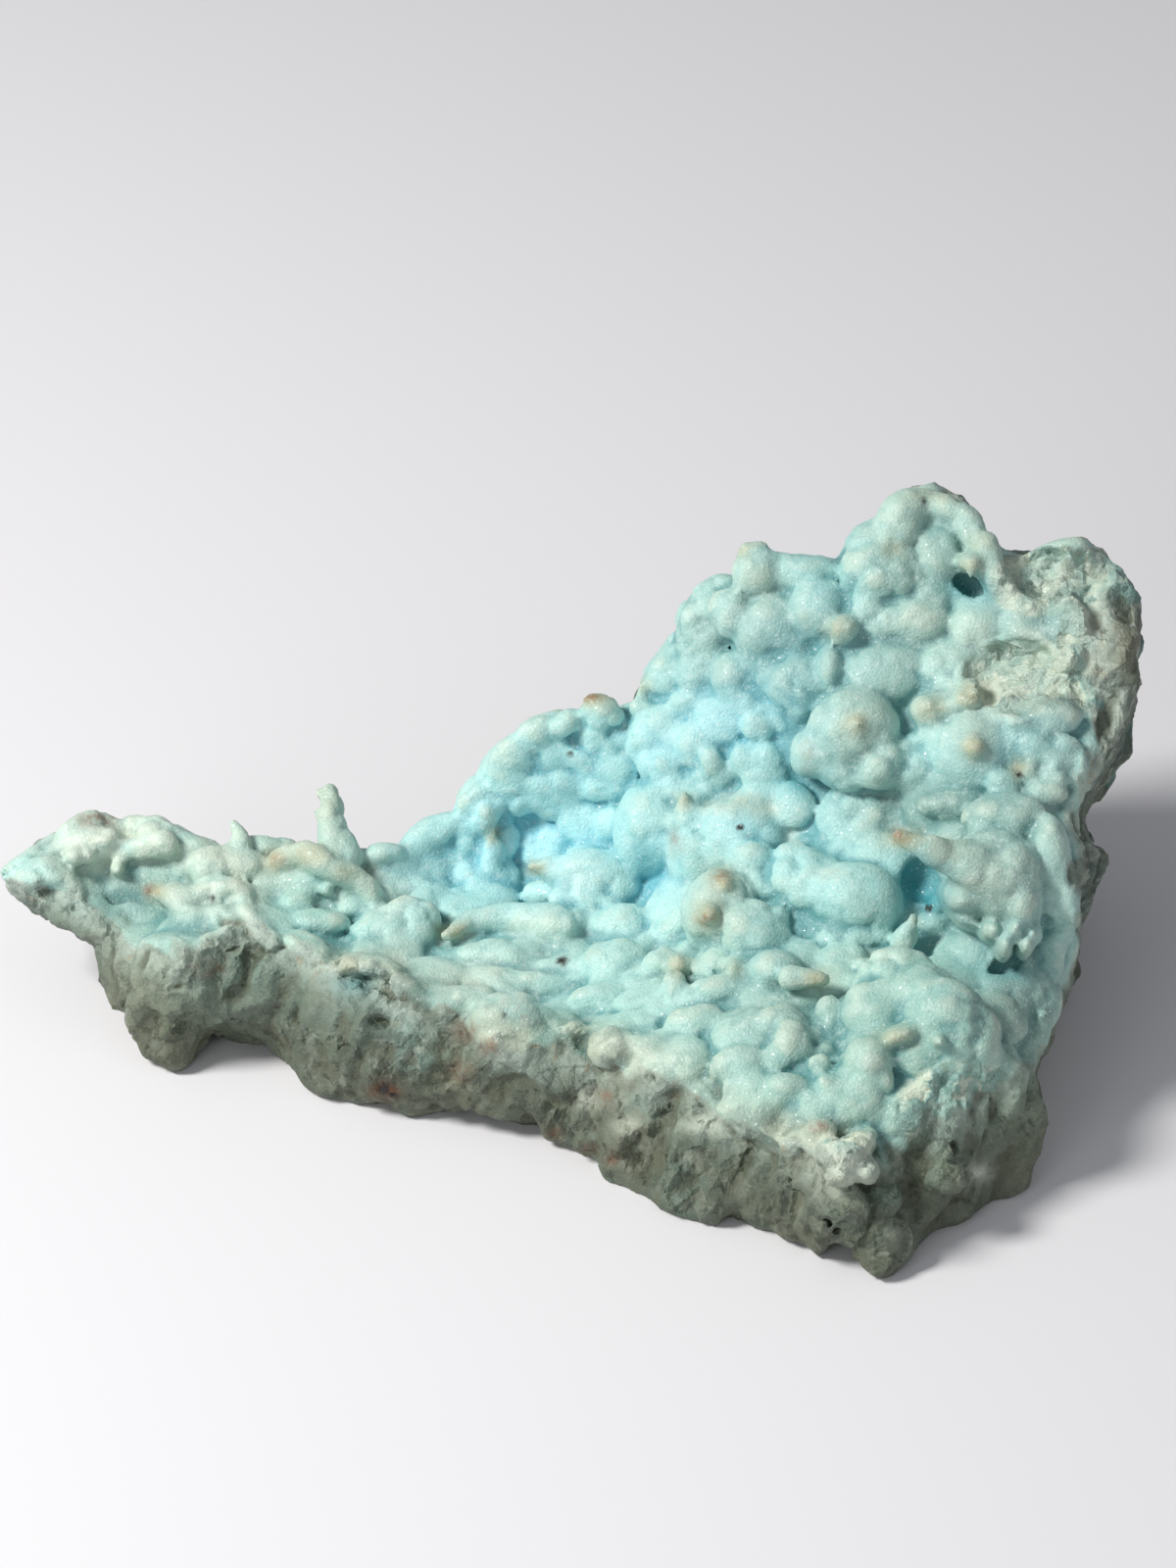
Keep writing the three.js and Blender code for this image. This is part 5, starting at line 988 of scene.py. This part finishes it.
def aragonite_material():
    """The whole stone's material: the masks of the mesh say where each of its colours lies."""
    material = bpy.data.materials.new("aragonite")
    material.use_nodes = True
    tree = material.node_tree
    tree.nodes.clear()
    g = Graph(tree)
    where = g.node("ShaderNodeTexCoord").outputs["Object"]
    blue, green, pale, grey, dim, tip, rust, shaded_teal = [g.mask(name) for name in BLOTCHES]
    broken, crease, hollow, tone = g.mask("broken"), g.mask("crease"), g.mask("hollow"), g.mask("tone")
    chip, rim, fringe, pit_shade = g.mask("chip"), g.mask("rim"), g.mask("fringe"), g.mask("pit_shade")

    # patterns, from broad patches down to the single crystals
    broad = g.noise(where, 38, 4, 0.55)
    middle = g.noise(where, 120, 4, 0.6)
    fine = g.noise(where, 520, 3, 0.65)
    patch = g.noise(where, 62, 3, 0.5)
    sugar = g.cells(where, 2300)
    uneven = g.math("SUBTRACT", middle, 0.5)

    # crust: pale aqua, sky blue in its hollows with painted bounce light added there, sea green at the lower
    # right, painted shade in the creases and in the dim places, and paler crests that are partly dust and
    # partly painted highlight
    colour = g.mix(g.spread(broad, 0.35, 0.65), linear(166, 213, 208), linear(186, 222, 210))
    # painted light: the hollows are tinted a brighter sky blue, standing in for light bounced inside them, on
    # top of the crust's own blue
    deep_and_bounce = g.math("ADD", g.times(blue, 0.85), g.spread(hollow, 0.5, 0.9, 0, 0.25), clamp=True)
    colour = g.tint(colour, (168, 228, 238), deep_and_bounce, 0.85)
    colour = g.tint(colour, (156, 194, 178), g.times(green, g.rest(blue)), 0.9)
    # painted shade: the creases are darkened to a dark teal
    crease_shade = g.spread(crease, 0.52, 0.84)
    crease_shade_colour = g.mix(blue, linear(64, 136, 140), linear(104, 184, 202))
    colour = g.mix(g.times(crease_shade, 0.8), colour, crease_shade_colour)
    # painted shade over the dim places
    colour = g.tint(colour, (84, 129, 126), dim, 0.75)
    colour = g.tint(colour, (168, 188, 174), grey, g.spread(middle, 0.25, 0.6, 0.45, 0.85))
    # crests paler: partly the crust's dust, partly painted highlight
    dust_and_highlight = g.times(g.spread(crease, 0.44, 0.16), g.spread(middle, 0.34, 0.66, 0.3, 1))
    colour = g.tint(colour, (190, 208, 192), g.times(dust_and_highlight, g.rest(g.times(deep_and_bounce, 0.6))), 0.8)
    colour = g.tint(colour, (214, 234, 226), g.spread(fine, 0.52, 0.72, 0, 0.34))
    colour = g.tint(colour, (112, 168, 170), g.spread(fine, 0.47, 0.3, 0, 0.26))

    # along the broken front the crust thins out, and olive and pale plates show through it
    thin = g.mix(g.spread(tone, 0.35, 0.75), linear(86, 102, 86), linear(176, 186, 164))
    colour = g.mix(g.times(fringe, g.spread(patch, 0.4, 0.56, 0.45, 0.95)), colour, thin)

    # where the crust is chipped off, glassy facets from near white to aqua and olive
    glassy = g.mix(g.spread(tone, 0.35, 0.75), linear(132, 168, 158), linear(208, 216, 194))
    glassy = g.tint(glassy, (112, 124, 98), g.spread(tone, 0.3, 0.1, 0, 0.7))
    # painted shade on the chipped facets in the dim places
    glassy = g.tint(glassy, (110, 146, 140), dim, 0.35)
    edge = g.math("ADD", chip, g.times(uneven, 1.4))
    colour = g.mix(g.spread(edge, 0.3, 0.8, 0, 0.85), colour, glassy)

    # break: grey green with streaks; each plate in its own tone, paler by the rim, darker and browner low
    # down, the darkening there partly painted shade
    turn = {"Vector": where, "Rotation": (0.3, 0.6, 0.2), "Scale": (0.5, 1.0, 2.6)}
    streak = g.noise(g.node("ShaderNodeMapping", turn).outputs["Vector"], 170, 4, 0.6)
    rock = g.mix(g.spread(middle, 0.36, 0.66), linear(64, 82, 76), linear(101, 121, 114))
    for pattern, low, high, most, shade in (
            (broad, 0.46, 0.68, 0.7, (146, 141, 118)), (patch, 0.56, 0.68, 0.6, (116, 164, 156)),
            (tone, 0.42, 0.15, 0.6, (88, 100, 82)), (tone, 0.62, 0.85, 0.7, (178, 188, 175)),
            (streak, 0.5, 0.34, 0.45, (96, 104, 84)), (streak, 0.58, 0.7, 0.35, (196, 202, 188))):
        rock = g.tint(rock, shade, g.spread(pattern, low, high, 0, most))
    rock = g.tint(rock, (144, 172, 154), green, 0.55)
    rock = g.tint(rock, (180, 198, 186), rim, g.spread(middle, 0.35, 0.6, 0.2, 0.8))
    rock = g.tint(rock, (158, 134, 96), rim, g.spread(fine, 0.58, 0.7, 0, 0.6))
    # painted shade in the creases of the break
    rock = g.tint(rock, (78, 86, 68), crease_shade, 0.75)
    # darker towards the table: partly painted shade, partly a browner foot
    height = g.node("ShaderNodeSeparateXYZ", {0: where}).outputs["Z"]
    rock = g.tint(rock, (84, 88, 68), g.spread(height, 0.026, 0.004, 0, 0.75))
    border = g.math("ADD", g.math("ADD", broken, g.times(uneven, 1.3)), g.times(fringe, 0.3))
    colour = g.mix(g.spread(border, 0.2, 0.9), colour, rock)
    # the teal hollows, darkened as painted shade
    colour = g.tint(colour, (42, 144, 154), shaded_teal)

    # white places, partly painted highlight, tan and rusty places, and black painted as the shade of pits
    colour = g.tint(colour, (218, 226, 208), g.times(pale, g.spread(middle, 0.32, 0.54, 0.22, 1)), 0.8)
    colour = g.tint(colour, (168, 162, 124), g.times(tip, g.spread(fine, 0.3, 0.6, 0.6, 1)), 0.85)
    colour = g.tint(colour, (126, 74, 42), rust, g.spread(fine, 0.36, 0.6, 0.3, 1))
    colour = g.tint(colour, (34, 28, 24), pit_shade)

    # sugary crystals: a grain of light and dark, and the odd one that catches the light
    grain = g.math("ADD", 1.0, g.spread(sugar, 0.1, 0.75, 0.04, -0.06))
    colour = g.node("ShaderNodeHueSaturation", {"Color": colour, "Value": grain}).outputs["Color"]
    glint = g.node("ShaderNodeSeparateColor", {0: g.cells(where, 3600, "Color")}).outputs[0]
    spark = g.times(g.spread(glint, 0.965, 0.99), g.rest(broken))
    colour = g.tint(colour, (225, 240, 236), spark, 0.4)

    # gloss, duller on the break
    dull = g.mix(broken, (0.58, 0.58, 0.58, 1), (0.68, 0.68, 0.68, 1))
    rough = g.math("ADD", dull, g.spread(fine, 0.3, 0.7, -0.1, 0.1))
    rough = g.math("SUBTRACT", rough, g.times(spark, 0.3), clamp=True)

    # grain too fine for the mesh: tilted flakes where the stone is bare, then dents, pits and crystals
    bare = g.math("MAXIMUM", broken, chip)
    normal = g.node("ShaderNodeNewGeometry").outputs["Normal"]
    for scale, strength in ((300, 0.75), (760, 0.45)):
        normal = g.lean(normal, where, scale, g.times(bare, strength))
    normal = g.bump(middle, 0.3, 0.0008, g.vector("NORMALIZE", {0: normal}))
    normal = g.bump(fine, g.spread(bare, 0.2, 0.8, 0.38, 0.6), 0.0004, normal)
    normal = g.bump(sugar, 0.4, 0.0002, normal)

    shader = g.node("ShaderNodeBsdfPrincipled", {
        "Base Color": colour, "Roughness": rough, "Normal": normal, "Specular IOR Level": 0.5, "IOR": 1.6,
        "Subsurface Weight": 0.15, "Subsurface Radius": (0.7, 1.0, 1.0), "Subsurface Scale": 0.0016,
    })
    g.node("ShaderNodeOutputMaterial", {"Surface": shader.outputs[0]})
    return material


# Soft lights, in metres: name, place, width, watts and colour; and the spot that they are turned to.
LIGHTS = [
    ("key", (-0.64, -0.18, 0.76), 0.3, 10.4, (1.0, 0.99, 0.96)),
    ("fill", (0.8, -0.55, 0.5), 0.6, 0.5, (0.93, 0.96, 1.0)),
    ("front", (-0.5, -0.9, 0.45), 0.5, 1.5, (0.97, 0.98, 1.0)),
]
LIT_SPOT = (0, 0, 0.03)


def plain_material(name, colour, roughness):
    material = bpy.data.materials.new(name)
    material.use_nodes = True
    shader = material.node_tree.nodes["Principled BSDF"]
    shader.inputs["Base Color"].default_value = colour
    shader.inputs["Roughness"].default_value = roughness
    return material


def make_floor():
    """A pale floor that runs up into a backdrop far behind."""
    size, rise, bend = 6.0, 3.0, 1.2
    back = 2.4
    profile = [(-size, 0.0), (back - bend, 0.0)]
    for n in range(1, 17):
        angle = math.radians(90 * n / 16)
        profile.append((back - bend + bend * math.sin(angle), bend - bend * math.cos(angle)))
    profile.append((back, rise + bend))
    corners = [(x, y, z) for y, z in profile for x in (-size, size)]
    faces = [(2 * n, 2 * n + 1, 2 * n + 3, 2 * n + 2) for n in range(len(profile) - 1)]
    mesh = bpy.data.meshes.new("floor")
    mesh.from_pydata(corners, [], faces)
    mesh.shade_smooth()
    floor = bpy.data.objects.new("floor", mesh)
    bpy.context.scene.collection.objects.link(floor)
    mesh.materials.append(plain_material("floor", (0.78, 0.77, 0.79, 1), 0.7))


def area_light(name, spot, size, power, colour):
    """A round soft light turned to the middle of the stone."""
    light = bpy.data.lights.new(name, "AREA")
    light.shape = "DISK"
    light.size = size
    light.energy = power
    light.color = colour
    lamp = bpy.data.objects.new(name, light)
    lamp.location = spot
    lamp.rotation_mode = "QUATERNION"
    lamp.rotation_quaternion = (Vector(LIT_SPOT) - Vector(spot)).to_track_quat("-Z", "Y")
    bpy.context.scene.collection.objects.link(lamp)


def make_light():
    """A dim even room and three soft lights, the key from the upper left as in the photograph."""
    world = bpy.data.worlds.new("room")
    bpy.context.scene.world = world
    world.use_nodes = True
    sky = world.node_tree.nodes["Background"]
    sky.inputs["Color"].default_value = (0.92, 0.95, 1.0, 1)
    sky.inputs["Strength"].default_value = 0.3
    for light in LIGHTS:
        area_light(*light)
    bpy.context.scene.view_settings.view_transform = "Standard"


def make_camera():
    """The photograph's eye: level from side to side, looking down at the sight plane."""
    data = bpy.data.cameras.new("camera")
    data.sensor_fit = "VERTICAL"
    data.sensor_width = data.sensor_height = 36.0
    data.lens = data.sensor_height * EYE_DISTANCE / VIEW_HEIGHT
    data.clip_start, data.clip_end = 0.05, 50.0
    camera = bpy.data.objects.new("camera", data)
    spot = Vector((0, EYE_UP * SIN - EYE_DISTANCE * COS, EYE_UP * COS + EYE_DISTANCE * SIN))
    spot -= Vector((ORIGIN_X, ORIGIN_Y, 0))
    turn = Matrix.Rotation(math.pi / 2 - SIGHT_RISE, 4, "X")
    camera.matrix_world = Matrix.Translation(spot / 1000) @ turn
    bpy.context.scene.collection.objects.link(camera)
    bpy.context.scene.camera = camera


make_camera()
stone_piece = build_mesh()
stone_piece.data.materials.append(aragonite_material())
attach(stone_piece, "root")
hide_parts(NODE)
make_floor()
make_light()
